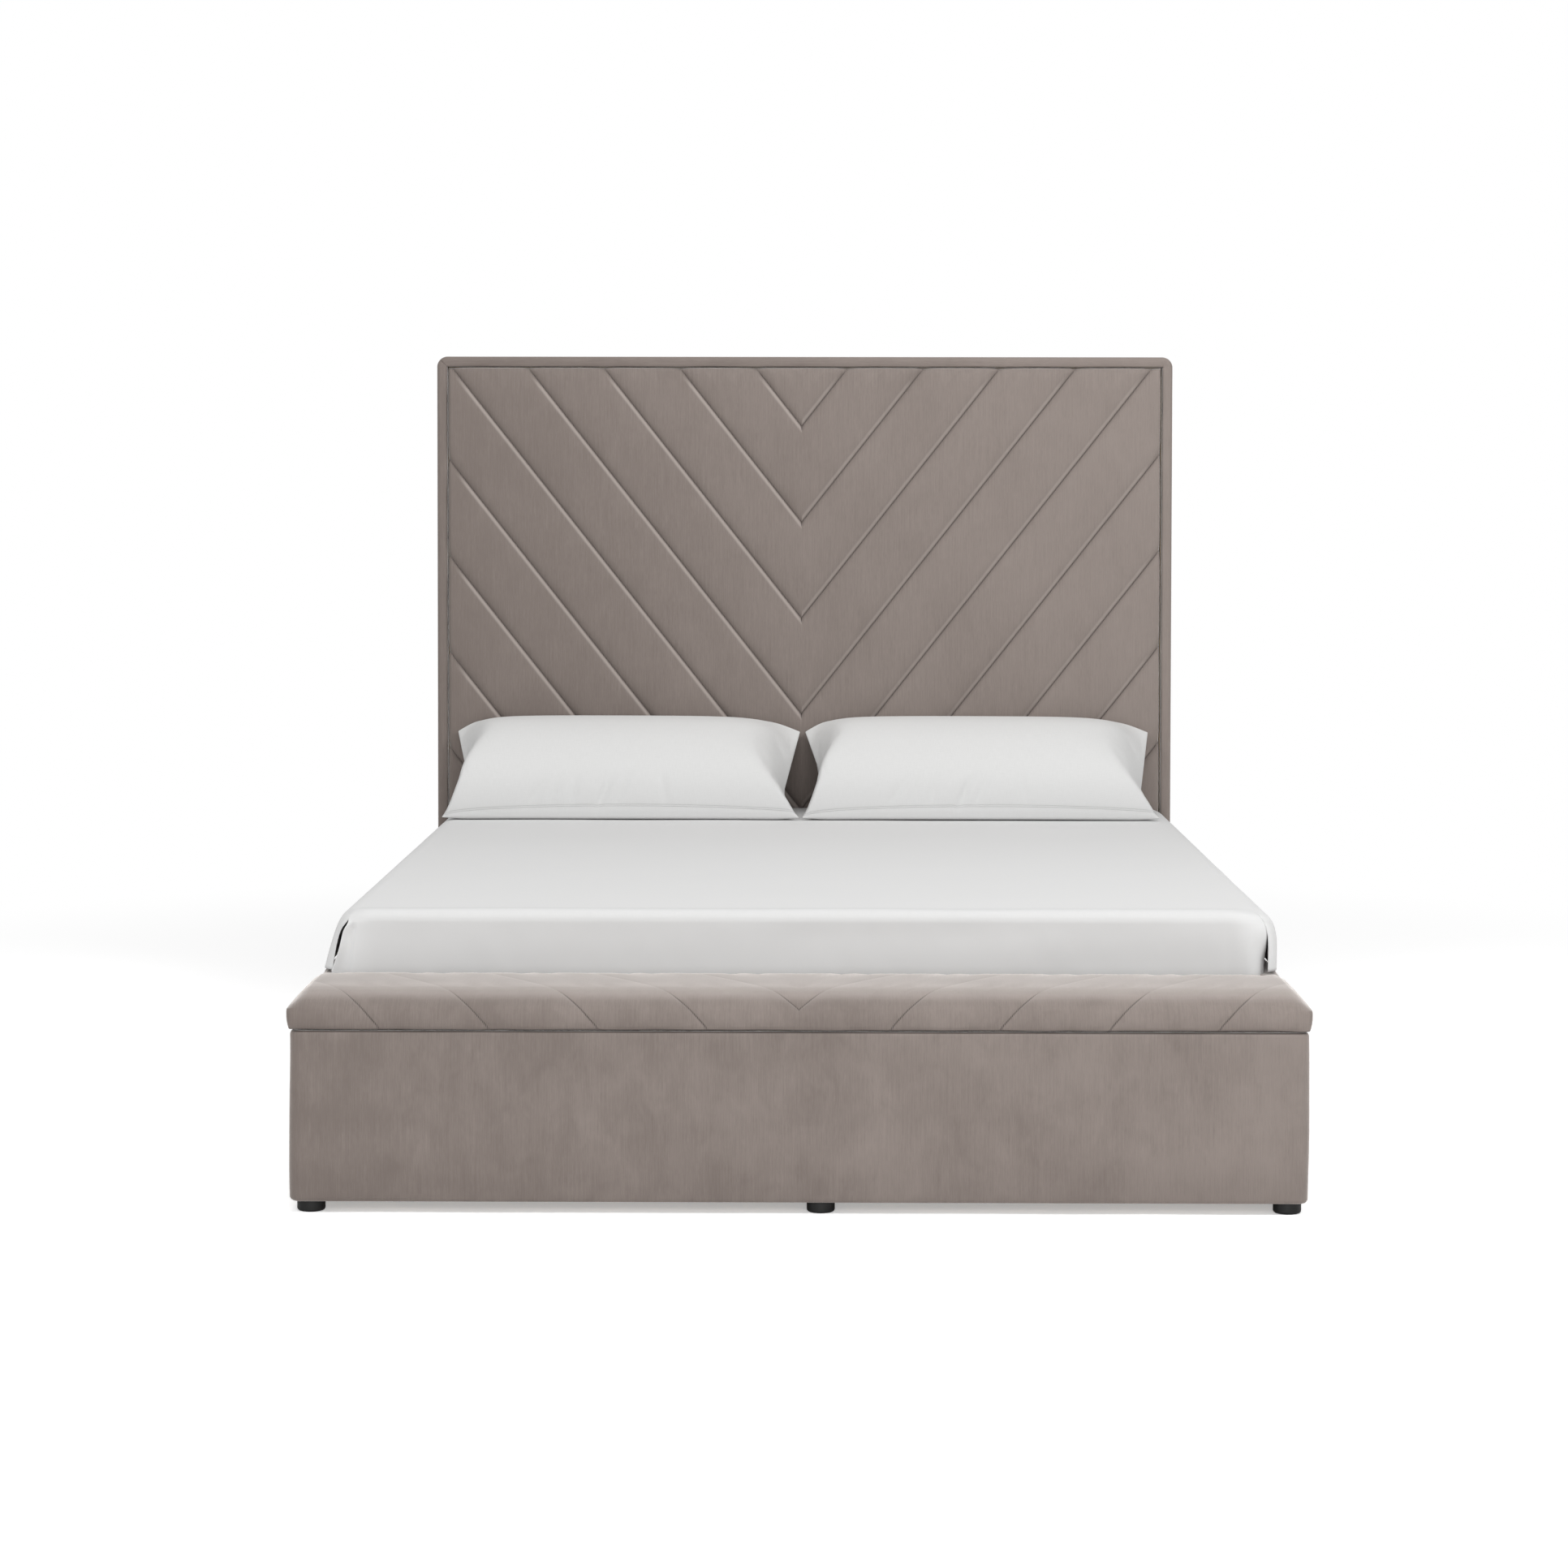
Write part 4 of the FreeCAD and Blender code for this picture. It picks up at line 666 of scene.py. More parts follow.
def rounded_slab(low, high, thick, rim, rim_steps=6, side_steps=26):
    """A closed profile of (outward, up): a flat outer face at 0 with round rims, and a flat back at -thick."""
    rise = np.linspace(low + rim, high - rim, side_steps)
    lower = quarter(-rim, low + rim, rim, rim, -1, 0, rim_steps)
    upper = quarter(-rim, high - rim, rim, rim, 0, 1, rim_steps)
    face = np.stack([0 * rise, rise], axis=-1)
    back = np.array([[-thick, high], [-thick, (low + high) / 2], [-thick, low]])
    return np.concatenate([lower, face[1:-1], upper, back])


def tube_object(name, points):
    """Closes a grid of points (along, around) round its second axis and fills both its ends."""
    index = numbered(points.shape[:2])
    sides = grid_faces(np.hstack([index, index[:, :1]])).tolist()
    tube = mesh_object(name, points.reshape(-1, 3), sides + [index[0].tolist(), index[-1, ::-1].tolist()])
    edit = bmesh.new()
    edit.from_mesh(tube.data)
    bmesh.ops.triangulate(edit, faces=[face for face in edit.faces if len(face.verts) > 4])
    bmesh.ops.recalc_face_normals(edit, faces=edit.faces[:])
    edit.to_mesh(tube.data)
    edit.free()
    return tube


def swept(places, normals, out):
    """Both coordinates of a profile carried along a path: each place moved outwards by the profile's reach."""
    return np.moveaxis(places[:, None] + normals[:, None] * out[..., None], -1, 0)


def bench_cover():
    """The cover's profile carried round the front and ends, bulged by a sine and by slow waves, with puckers."""
    half, front = COVER_HIGH[0], COVER_LOW[1]
    outline = np.array([[-half, COVER_REAR], [-half, front], [half, front], [half, COVER_REAR]])
    places, normals, walk = rounded_path(outline, COVER_CORNER, 0.012)
    normals = -normals if normals[0, 0] > 0 else normals
    rows = np.unique(np.concatenate([walk, END_ROWS, walk[-1] - END_ROWS]))
    places, normals = (np.stack([np.interp(rows, walk, axis) for axis in grid.T], axis=-1)
                       for grid in (places, normals))
    walk = rows
    low, high = COVER_LOW[2] - COVER_SAG, COVER_HIGH[2]
    profile = rounded_slab(low, high, COVER_THICK, COVER_RIM)
    a, height = np.meshgrid(walk, profile[:, 1], indexing="ij")
    out = np.broadcast_to(profile[:, 0], a.shape)
    face = smooth(out, -0.010, -0.001)
    rise = (height - low) / (high - low)
    bulge = COVER_CROWN * np.sin(np.pi * rise) - COVER_CROWN + ripple(a, height, *COVER_WAVE)
    corners = (abs(front - COVER_REAR), walk[-1] - abs(front - COVER_REAR))
    pleats = np.zeros(a.shape)
    for corner, beside, lean, reach in COVER_PLEATS:
        line = a - (corners[corner] + beside) - lean * (height - low)
        pleats += np.exp(-(line / COVER_PLEAT_WIDTH) ** 2) * (1 - smooth(height - low, 0.006, reach))
    from_end = np.minimum(walk, walk[-1] - walk)[:, None]
    bulge -= COVER_PLEAT_DEPTH * pleats + END_ROLL * (1 - arc_quarter(from_end, END_ROLL))
    out = out + face * bulge
    cover = tube_object("bench_cover", np.stack([*swept(places, normals, out), height], axis=-1))
    # Painted shade, darker towards the bottom of the cover near the floor.
    deep = COVER_PAINTED_SHADE * (1 - smooth(height, COVER_LOW[2], COVER_LOW[2] + 0.12))
    # Painted shade in the gap under the lid.
    painted_gap_shade = LID_GAP_SHADE * smooth(height, COVER_HIGH[2] - 0.0034, COVER_HIGH[2] - 0.0008)
    cloth_map(cover, *np.meshgrid(walk, walk_along(profile), indexing="ij"), turned=deep, seam=painted_gap_shade)
    return cover


cover = dress(bench_cover(), brushed_velvet, "bed", "velvet", "bench_front_cover", "bench_end_cover_left",
              "bench_end_cover_right")

# Border of the headboard: three velvet strips over foam that frame the panel and go round to the back. They meet
# in a sewn mitre at the upper left corner, and at the upper right one the cloth is gathered in small pleats.
BORDER_LOW, BORDER_HIGH = np.array(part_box("headboard_border_left"))
BORDER_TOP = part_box("headboard_border_top")[1][2]
BORDER_RADIUS = 0.0236
BORDER_RIM = 0.008
BORDER_INNER_RIM = 0.0035
BORDER_PUFF = 0.0014
BORDER_WAVE = (0.0007, 31, 0.11)
MITRE_WIDTH, MITRE_DEPTH = 0.0016, 0.0016
PLEAT_COUNT, PLEAT_DEPTH = 5, 0.0011


def headboard_border():
    """The border's section of (outward, back) carried up one side, round two corners, across and down again."""
    half, foot = -BORDER_LOW[0], BORDER_LOW[2]
    outline = np.array([[half, foot], [half, BORDER_TOP], [-half, BORDER_TOP], [-half, foot]])
    places, normals, walk = rounded_path(outline, BORDER_RADIUS, 0.012, 14)
    front, back = BORDER_LOW[1], BORDER_HIGH[1]
    width = BORDER_HIGH[0] - BORDER_LOW[0] - OVERLAP / 4
    deep = np.linspace(back, front + BORDER_RIM, 9)[:-1]
    outer = np.stack([0 * deep, deep], axis=-1)
    bend = quarter(-BORDER_RIM, front + BORDER_RIM, BORDER_RIM, BORDER_RIM, 0, -1, 7)
    rim = BORDER_INNER_RIM
    flat = np.linspace(-BORDER_RIM, rim - width, 9)[1:-1]
    face = np.stack([flat, front + 0 * flat], axis=-1)
    inner = quarter(rim - width, front + rim, rim, rim, -1, -2, 7)
    profile = np.concatenate([outer, bend, face, inner, [[-width, back]]])
    a, depth = np.meshgrid(walk, profile[:, 1], indexing="ij")
    out = np.broadcast_to(profile[:, 0], a.shape)
    bow = BORDER_PUFF * np.sin(np.pi * np.clip(-out / width, 0, 1)) - BORDER_PUFF
    shown = 1 - smooth(depth, front + 0.001, front + 0.010)
    arc = BORDER_RADIUS * np.pi / 2
    right_corner = BORDER_TOP - foot - BORDER_RADIUS + arc / 2
    left_corner = walk[-1] - right_corner
    mitre = np.exp(-((a - left_corner) / MITRE_WIDTH) ** 2)
    fan = (a - right_corner) / arc
    pleats = (0.5 + 0.5 * np.cos(2 * np.pi * PLEAT_COUNT * fan)) ** 3 * (np.abs(fan) < 0.5)
    wave = ripple(a, out * 3, *BORDER_WAVE)
    depth = depth + shown * (MITRE_DEPTH * mitre + PLEAT_DEPTH * pleats - bow - wave)
    x, z = swept(places, normals, out)
    border = tube_object("headboard_border", np.stack([x, depth, z], axis=-1))
    u, v = np.meshgrid(walk, walk_along(profile), indexing="ij")
    # Painted shade in the gap beside the panel.
    painted_gap_shade = PANEL_GAP_SHADE * smooth(depth, front + 0.0018, front + 0.0040) * (out < rim / 2 - width)
    # The seam field darkens the sewn mitre, and paints shade into the pleats.
    cloth_map(border, v, u, seam=(0.9 * mitre + 0.35 * pleats) * shown + painted_gap_shade)
    return border


border = dress(headboard_border(), smooth_velvet, "bed", "velvet", "headboard_border_left",
               "headboard_border_right", "headboard_border_top")

# Side rails: velvet over thin foam on a board, pulled over its top and stapled inside. In front of the mattress
# the rail steps down so that it passes under the lid.
RAIL_BOARD_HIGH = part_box("side_rail_board_right")[1]
RAIL_LOW, RAIL_HIGH = np.array(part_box("side_rail_cover_right"))
RAIL_STEP_Y = -0.8802
RAIL_STEP_RUN = 0.0020
RAIL_SKIN = 0.0012
RAIL_RIM = 0.012
RAIL_HEEL = 0.004
RAIL_FOOT = 0.006
RAIL_INSET = 0.0012
RAIL_WAVE = {-1: (0.0008, 40, 0.25), 1: (0.0008, 42, 0.25)}
RAIL_TOP_WAVE = {-1: (0.0008, 42, 0.14), 1: (0.0008, 44, 0.14)}
RAIL_NOSE = {-1: 0.0062, 1: 0.0030}
RAIL_NOSE_RUN = 0.12


def rail_cover(side, sign):
    """An L section over the board, whose top follows the step, carried from the bench to the headboard."""
    tall = RAIL_HIGH[2] - RAIL_LOW[2]
    skin = RAIL_HIGH[2] - RAIL_BOARD_HIGH[2]
    outer, inner = RAIL_HIGH[0], RAIL_LOW[0]
    foot = [(RAIL_BOARD_HIGH[0], 0), (outer - RAIL_FOOT, 0), (outer - 0.3 * RAIL_FOOT, 0.3 * RAIL_FOOT),
            (outer, RAIL_FOOT)]
    face = [(outer, height) for height in np.linspace(RAIL_FOOT, tall - RAIL_RIM, 22)[1:-1]]
    profile = np.vstack([foot, face, quarter(outer - RAIL_RIM, tall - RAIL_RIM, RAIL_RIM, RAIL_RIM, 0, 1, 7),
                         quarter(inner + RAIL_HEEL, tall - RAIL_HEEL, RAIL_HEEL, RAIL_HEEL, 1, 2, 7),
                         (inner, tall - skin), (RAIL_BOARD_HIGH[0], tall - skin)])
    y = np.concatenate([RAIL_LOW[1] + END_ROWS, np.linspace(RAIL_LOW[1], RAIL_STEP_Y, 6)[1:-1],
                        RAIL_STEP_Y + RAIL_STEP_RUN * np.linspace(0, 1, 9),
                        np.linspace(RAIL_STEP_Y + RAIL_STEP_RUN, RAIL_HIGH[1], 150)[1:-1],
                        RAIL_HIGH[1] - END_ROWS[::-1]])
    notch = COVER_HIGH[2] + RAIL_SKIN
    low_top = notch + (RAIL_HIGH[2] - notch) * smooth(y, RAIL_STEP_Y, RAIL_STEP_Y + RAIL_STEP_RUN)
    low_top -= RAIL_NOSE[sign] * (y > RAIL_STEP_Y) * (1 - smooth(y, RAIL_STEP_Y, RAIL_STEP_Y + RAIL_NOSE_RUN))
    x, height = np.broadcast_to(profile[:, 0], (len(y), len(profile))), profile[:, 1]
    z = RAIL_LOW[2] + height * ((low_top - RAIL_LOW[2]) / tall)[:, None]
    outside = smooth(x, outer - 0.006, outer - 0.001)
    from_end = np.minimum(y - RAIL_LOW[1], RAIL_HIGH[1] - y)[:, None]
    wave = ripple(y[:, None], z, *RAIL_WAVE[sign]) - RAIL_INSET
    wave -= END_ROLL * (1 - arc_quarter(from_end, END_ROLL))
    top = smooth(z, low_top[:, None] - 0.006, low_top[:, None] - 0.001)
    top *= smooth(x, inner + 0.002, inner + 0.008)
    lift = ripple(y[:, None], x, *RAIL_TOP_WAVE[sign]) - RAIL_TOP_WAVE[sign][0]
    points = np.stack([sign * (x + wave * outside), y[:, None] + 0 * x, z + lift * top], axis=-1)
    cover = tube_object("side_rail_cloth_" + side, points)
    cloth_map(cover, *np.meshgrid(y, walk_along(profile), indexing="ij"))
    return cover


for side, sign in (("left", -1), ("right", 1)):
    rail = dress(rail_cover(side, sign), brushed_velvet, "bed", "velvet", "side_rail_cover_" + side)

# Timber: the frame's boards are sanded plywood. The posts, rails, ledges, centre beam, legs and slats are planed
# pine, and the slats lie on two woven straps. All of it is glued, screwed or bolted behind the velvet.
PLYWOOD_PALE, PLYWOOD_DARK = (0.60, 0.46, 0.31, 1), (0.47, 0.33, 0.20, 1)
PINE_PALE, PINE_DARK = (0.66, 0.49, 0.30, 1), (0.50, 0.32, 0.16, 1)
WEBBING_PALE, WEBBING_DARK = (0.70, 0.68, 0.62, 1), (0.52, 0.50, 0.45, 1)
ACROSS_GRAIN, PORES = 16.0, 55.0


def wood(name, pale, dark, grain, bands):
    """Sanded wood: long soft bands along the grain, which runs along the axis given, and fine pores."""
    paint = Finish(name, Specular_IOR_Level=0.3)
    across = np.array([1.0 if axis == grain else ACROSS_GRAIN for axis in "xyz"])
    broad = paint.noise((across * bands).tolist(), 3.0, 0.55, 0.5)
    pores = paint.noise((across * PORES).tolist(), 2.0, 0.6)
    tone = broad * 0.75 + pores * 0.25
    return paint.surface(Base_Color=paint.mix(tone.over(0.32, 0.68), dark, pale),
                         Roughness=0.56 + pores * 0.12, Normal=paint.bump(pores, 0.0003, 0.4))


def woven(name, pale, dark, pitch, roughness=0.9):
    """Plain cloth or tape woven along X and Y."""
    paint = Finish(name, Roughness=roughness, Specular_IOR_Level=0.2)
    warp = paint.noise((1 / pitch, 0.08 / pitch, 0.3 / pitch))
    weft = paint.noise((0.08 / pitch, 1 / pitch, 1 / pitch))
    yarn = warp * 0.5 + weft * 0.5
    return paint.surface(Base_Color=paint.mix(yarn.over(0.3, 0.7), dark, pale),
                         Normal=paint.bump(yarn, 0.0005, 0.5))


def coat(material, *names):
    """Puts a finish on nodes of the CAD."""
    for name in names:
        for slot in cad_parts[name].material_slots:
            slot.material = material


coat(wood("plywood_across", PLYWOOD_PALE, PLYWOOD_DARK, "x", 5.0), "bench_back_panel", "bench_front_panel",
     "bench_floor_panel", "lid_board", "headboard_face_board")
coat(wood("plywood_lengthwise", PLYWOOD_PALE, PLYWOOD_DARK, "y", 5.0), "bench_end_panel_left",
     "bench_end_panel_right", "side_rail_board_left", "side_rail_board_right")
coat(wood("pine_across", PINE_PALE, PINE_DARK, "x", 7.0), "bed_slats", "headboard_bottom_rail",
     "headboard_middle_rail", "headboard_top_rail")
coat(wood("pine_lengthwise", PINE_PALE, PINE_DARK, "y", 7.0), "centre_beam", "slat_ledge_left",
     "slat_ledge_right")
coat(wood("pine_upright", PINE_PALE, PINE_DARK, "z", 7.0), "centre_legs", "headboard_post_left",
     "headboard_post_right")
coat(woven("webbing", WEBBING_PALE, WEBBING_DARK, 0.0016), "slat_straps")

# Linings: thin black non-woven cloth, stapled inside the bench, under the lid and over the back of the headboard.
LINING_PALE, LINING_DARK = (0.042, 0.042, 0.045, 1), (0.024, 0.024, 0.026, 1)
coat(woven("lining_cloth", LINING_PALE, LINING_DARK, 0.0012, 0.95), "bench_lining", "lid_lining",
     "headboard_back_cover")

# Feet and fittings: moulded black plastic feet and glides screwed under the boards, and rubber bumpers under the
# lid. Brackets, beam hangers and strut tubes are black powder-coated steel. Hinges, bolts and strut ends are
# zinc, and all are screwed or bolted to the boards.
PLASTIC_BLACK, RUBBER_BLACK = (0.0070, 0.0070, 0.0070, 1), (0.018, 0.018, 0.018, 1)
STEEL_BLACK, ZINC, ROD = (0.020, 0.020, 0.022, 1), (0.60, 0.60, 0.58, 1), (0.75, 0.75, 0.76, 1)


def fitting(name, colour, roughness, metallic, grit, spread):
    """Metal or plastic of one colour with a fine uneven surface."""
    paint = Finish(name, Base_Color=colour, Metallic=metallic, Specular_IOR_Level=0.5 if metallic else 0.25)
    speck = paint.noise((grit, grit, grit), 3.0, 0.6)
    return paint.surface(Roughness=roughness + (speck - 0.5) * spread, Normal=paint.bump(speck, 0.0002, 0.25))


coat(fitting("black_plastic", PLASTIC_BLACK, 0.50, 0, 420, 0.10), "bench_foot_left", "bench_foot_middle",
     "bench_foot_right", "bench_rear_feet", "headboard_feet", "centre_leg_glides")
coat(fitting("black_rubber", RUBBER_BLACK, 0.80, 0, 300, 0.10), "lid_bumpers")
coat(fitting("black_steel", STEEL_BLACK, 0.42, 0, 900, 0.16), "rail_brackets", "beam_hangers",
     "strut_tube_left", "strut_tube_right")
coat(fitting("zinc_steel", ZINC, 0.36, 1, 160, 0.22), "rail_bolts", "hinge_leaves_fixed", "hinge_leaves_moving",
     "hinge_pins", "strut_base_bracket_left", "strut_base_bracket_right", "strut_lid_bracket_left",
     "strut_lid_bracket_right")
coat(fitting("polished_rod", ROD, 0.13, 1, 500, 0.05), "strut_rod_left", "strut_rod_right")

# Mattress: foam and springs in a pale woven ticking with fine stripes. Its edges and upright corners are round,
# and it lies loose on the slats.
MATTRESS_LOW, MATTRESS_HIGH = np.array(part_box("mattress"))
MATTRESS_CORNER = 0.045
MATTRESS_EDGE = 0.028
MATTRESS_SUNK = 0.0015
MATTRESS_CLEAR = 0.0040
MATTRESS_BELLY = 0.0025
TICKING_PITCH = 0.018
TICKING_BAND = (0.42, 0.50, 0.62, 0.70)
TICKING_COLOUR = (0.72, 0.71, 0.68, 1)
TICKING_LINE = (0.60, 0.59, 0.56, 1)


def level_curve(half, low_y, high_y, radius, steps=9, between=30):
    """A closed rounded rectangle: arcs at its corners with a set number of places between them."""
    corners = [(half, low_y), (half, high_y), (-half, high_y), (-half, low_y)]
    places = [quarter(x - radius * np.sign(x), y + radius * (1 if y == low_y else -1), radius, radius,
                      number - 1, number, steps) for number, (x, y) in enumerate(corners)]
    run = np.linspace(0, 1, between + 2)[1:-1, None]
    sides = [arc[-1] + run * (onward[0] - arc[-1]) for arc, onward in zip(places, places[1:] + places[:1])]
    return np.concatenate([part for pair in zip(places, sides) for part in pair])


def mattress_block():
    """Rounded rectangles stacked up the side: round edges and a side that bellies by half a sine."""
    low, high = MATTRESS_LOW[2], MATTRESS_HIGH[2] - MATTRESS_SUNK
    edge = MATTRESS_EDGE
    wall = np.linspace(0, 1, 14)[1:-1]
    belly = MATTRESS_BELLY * (1 - np.sin(np.pi * wall))
    side = np.stack([belly, low + edge + (high - low - 2 * edge) * wall], axis=-1)
    rows = np.vstack([(0.12, low), (edge + 0.02, low), quarter(edge, low + edge, edge, edge, -1, -2, 6), side,
                      quarter(edge, high - edge, edge, edge, 2, 1, 6), (edge + 0.02, high), (0.12, high)])
    front, rear = MATTRESS_LOW[1] + MATTRESS_CLEAR, MATTRESS_HIGH[1]
    rings = []
    for inset, height in rows:
        plan = level_curve(MATTRESS_HIGH[0] - inset, front + inset, rear - inset,
                           max(MATTRESS_CORNER - inset, 0.006))
        rings.append(np.column_stack([plan, np.full(len(plan), height)]))
    block = tube_object("mattress_block", np.array(rings))
    points = read_points(block)
    cloth_map(block, points[:, 0] + points[:, 1], points[:, 2] + points[:, 1])
    return block


def ticking():
    """Pale woven cloth with fine stripes down it."""
    paint = Finish("ticking", Roughness=0.9, Specular_IOR_Level=0.2)
    across = paint.node("SeparateXYZ", {}, {0: paint.place()}, 0)
    stripe = ((across / TICKING_PITCH) % 1).band(*TICKING_BAND)
    weave = paint.noise((900, 900, 900))
    return paint.surface(Base_Color=paint.mix(stripe * 0.8, TICKING_COLOUR, TICKING_LINE),
                         Normal=paint.bump(weave, 0.0004, 0.5))


mattress = dress(mattress_block(), ticking(), "mattress", "mattress_ticking", "mattress")

# Sheet: one white cotton sheet laid over the mattress. Its sides puff out over the rails, its front hangs down
# between the mattress and the bench, and a slit at each front corner parts the front from the sides.
SHEET_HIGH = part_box("bed_sheet")[1]
SHEET_HALF = 0.757
SHEET_FRONT = -0.8570
SHEET_CORNER = 0.026
SHEET_SIDE_BEND = {"left": ((0.0, 0.0), (0.038, 0.0), (0.050, 0.030), (0.0685, 0.1070)),
                   "right": ((0.0, 0.0), (0.060, 0.0), (0.072, 0.022), (0.0695, 0.1070))}
SHEET_FRONT_REACH = 0.0240
SHEET_HEM = 0.215
SLIT_TOP = {"left": 0.4335, "right": 0.4225}
SLIT_ANGLE = 0.50
SLIT_OPEN = 0.0220
SLIT_CLOSED = 0.003
SLIT_LEAN = 0.20
SLIT_DEPTH = 0.075
SLIT_RADIUS = 0.075
SLIT_REACH, SLIT_LEAN_REACH, SLIT_LEAN_FALL = 0.022, 0.030, 0.22
SLIT_SHARES = (0.65, -0.35)
TURNED_WIDTH = 0.034
SIDE_FALL = 0.050
EDGE_PUFF = 0.005
EDGE_WIDTH = 0.007
EDGE_HOLLOW, HOLLOW_PLACE, HOLLOW_WIDTH = 0.9, 0.017, 0.010
TURNED_BACK = 0.012
TURNED_ANGLE = 0.24
SHEET_THICK = 0.0012
SHEET_WAVE, SHEET_CREASE, SHEET_TOP_WAVE = (0.0016, 51, 0.30), (0.0007, 52, 0.09), (0.0006, 55, 0.40)
# Painted light on the front drop and painted shade over its bend.
SHEET_FRONT_PAINTED_LIGHT, SHEET_BEND_PAINTED_SHADE = 0.80, -0.34


def sheet_columns():
    """Upright lines down the sheet, from its left rear round to the middle of the front.

    Each has its inner place, its angle, 0 on the side and a quarter turn on the front, and its part, which is 1
    past the slit.
    """
    inner_x, inner_y = SHEET_CORNER - SHEET_HALF, SHEET_FRONT + SHEET_CORNER
    columns = [(inner_x, y, 0, 0) for y in np.linspace(SHEET_HIGH[1], inner_y, 150)[:-1]]
    turn = np.linspace(0, np.pi / 2, 37)
    slit = int(np.argmin(np.abs(turn - SLIT_ANGLE)))
    columns += [(inner_x, inner_y, angle, 0) for angle in turn[:slit + 1]]
    columns += [(inner_x, inner_y, angle, 1) for angle in turn[slit:]]
    spread = np.linspace(0, 1, 62)[1:] ** 1.35
    columns += [(inner_x * (1 - share), inner_y, np.pi / 2, 1) for share in spread]
    return np.array(columns), turn[slit]


def sheet_rows(angle, top, side):
    """Outward reach and fall of each row: a curve of four points at the side, a roll and a drop in front."""
    share = np.linspace(0, 1, 45)[1:, None]
    rest = 1 - share
    weights = np.hstack([rest ** 3, 3 * share * rest ** 2, 3 * share ** 2 * rest, share ** 3])
    side = weights @ np.array(SHEET_SIDE_BEND[side])
    bend = np.minimum(share * 2, 1) * np.pi / 2
    low = side[-1, 1]
    round_front = SHEET_FRONT_REACH
    reach = round_front * np.sin(bend)
    fall = round_front * (1 - np.cos(bend)) + np.maximum(share * 2 - 1, 0) * (low - round_front)
    front = np.sin(angle)[None, :] ** 2
    return np.stack([side[:, :1] * (1 - front) + reach * front, top - side[:, 1:] * (1 - front) - fall * front])


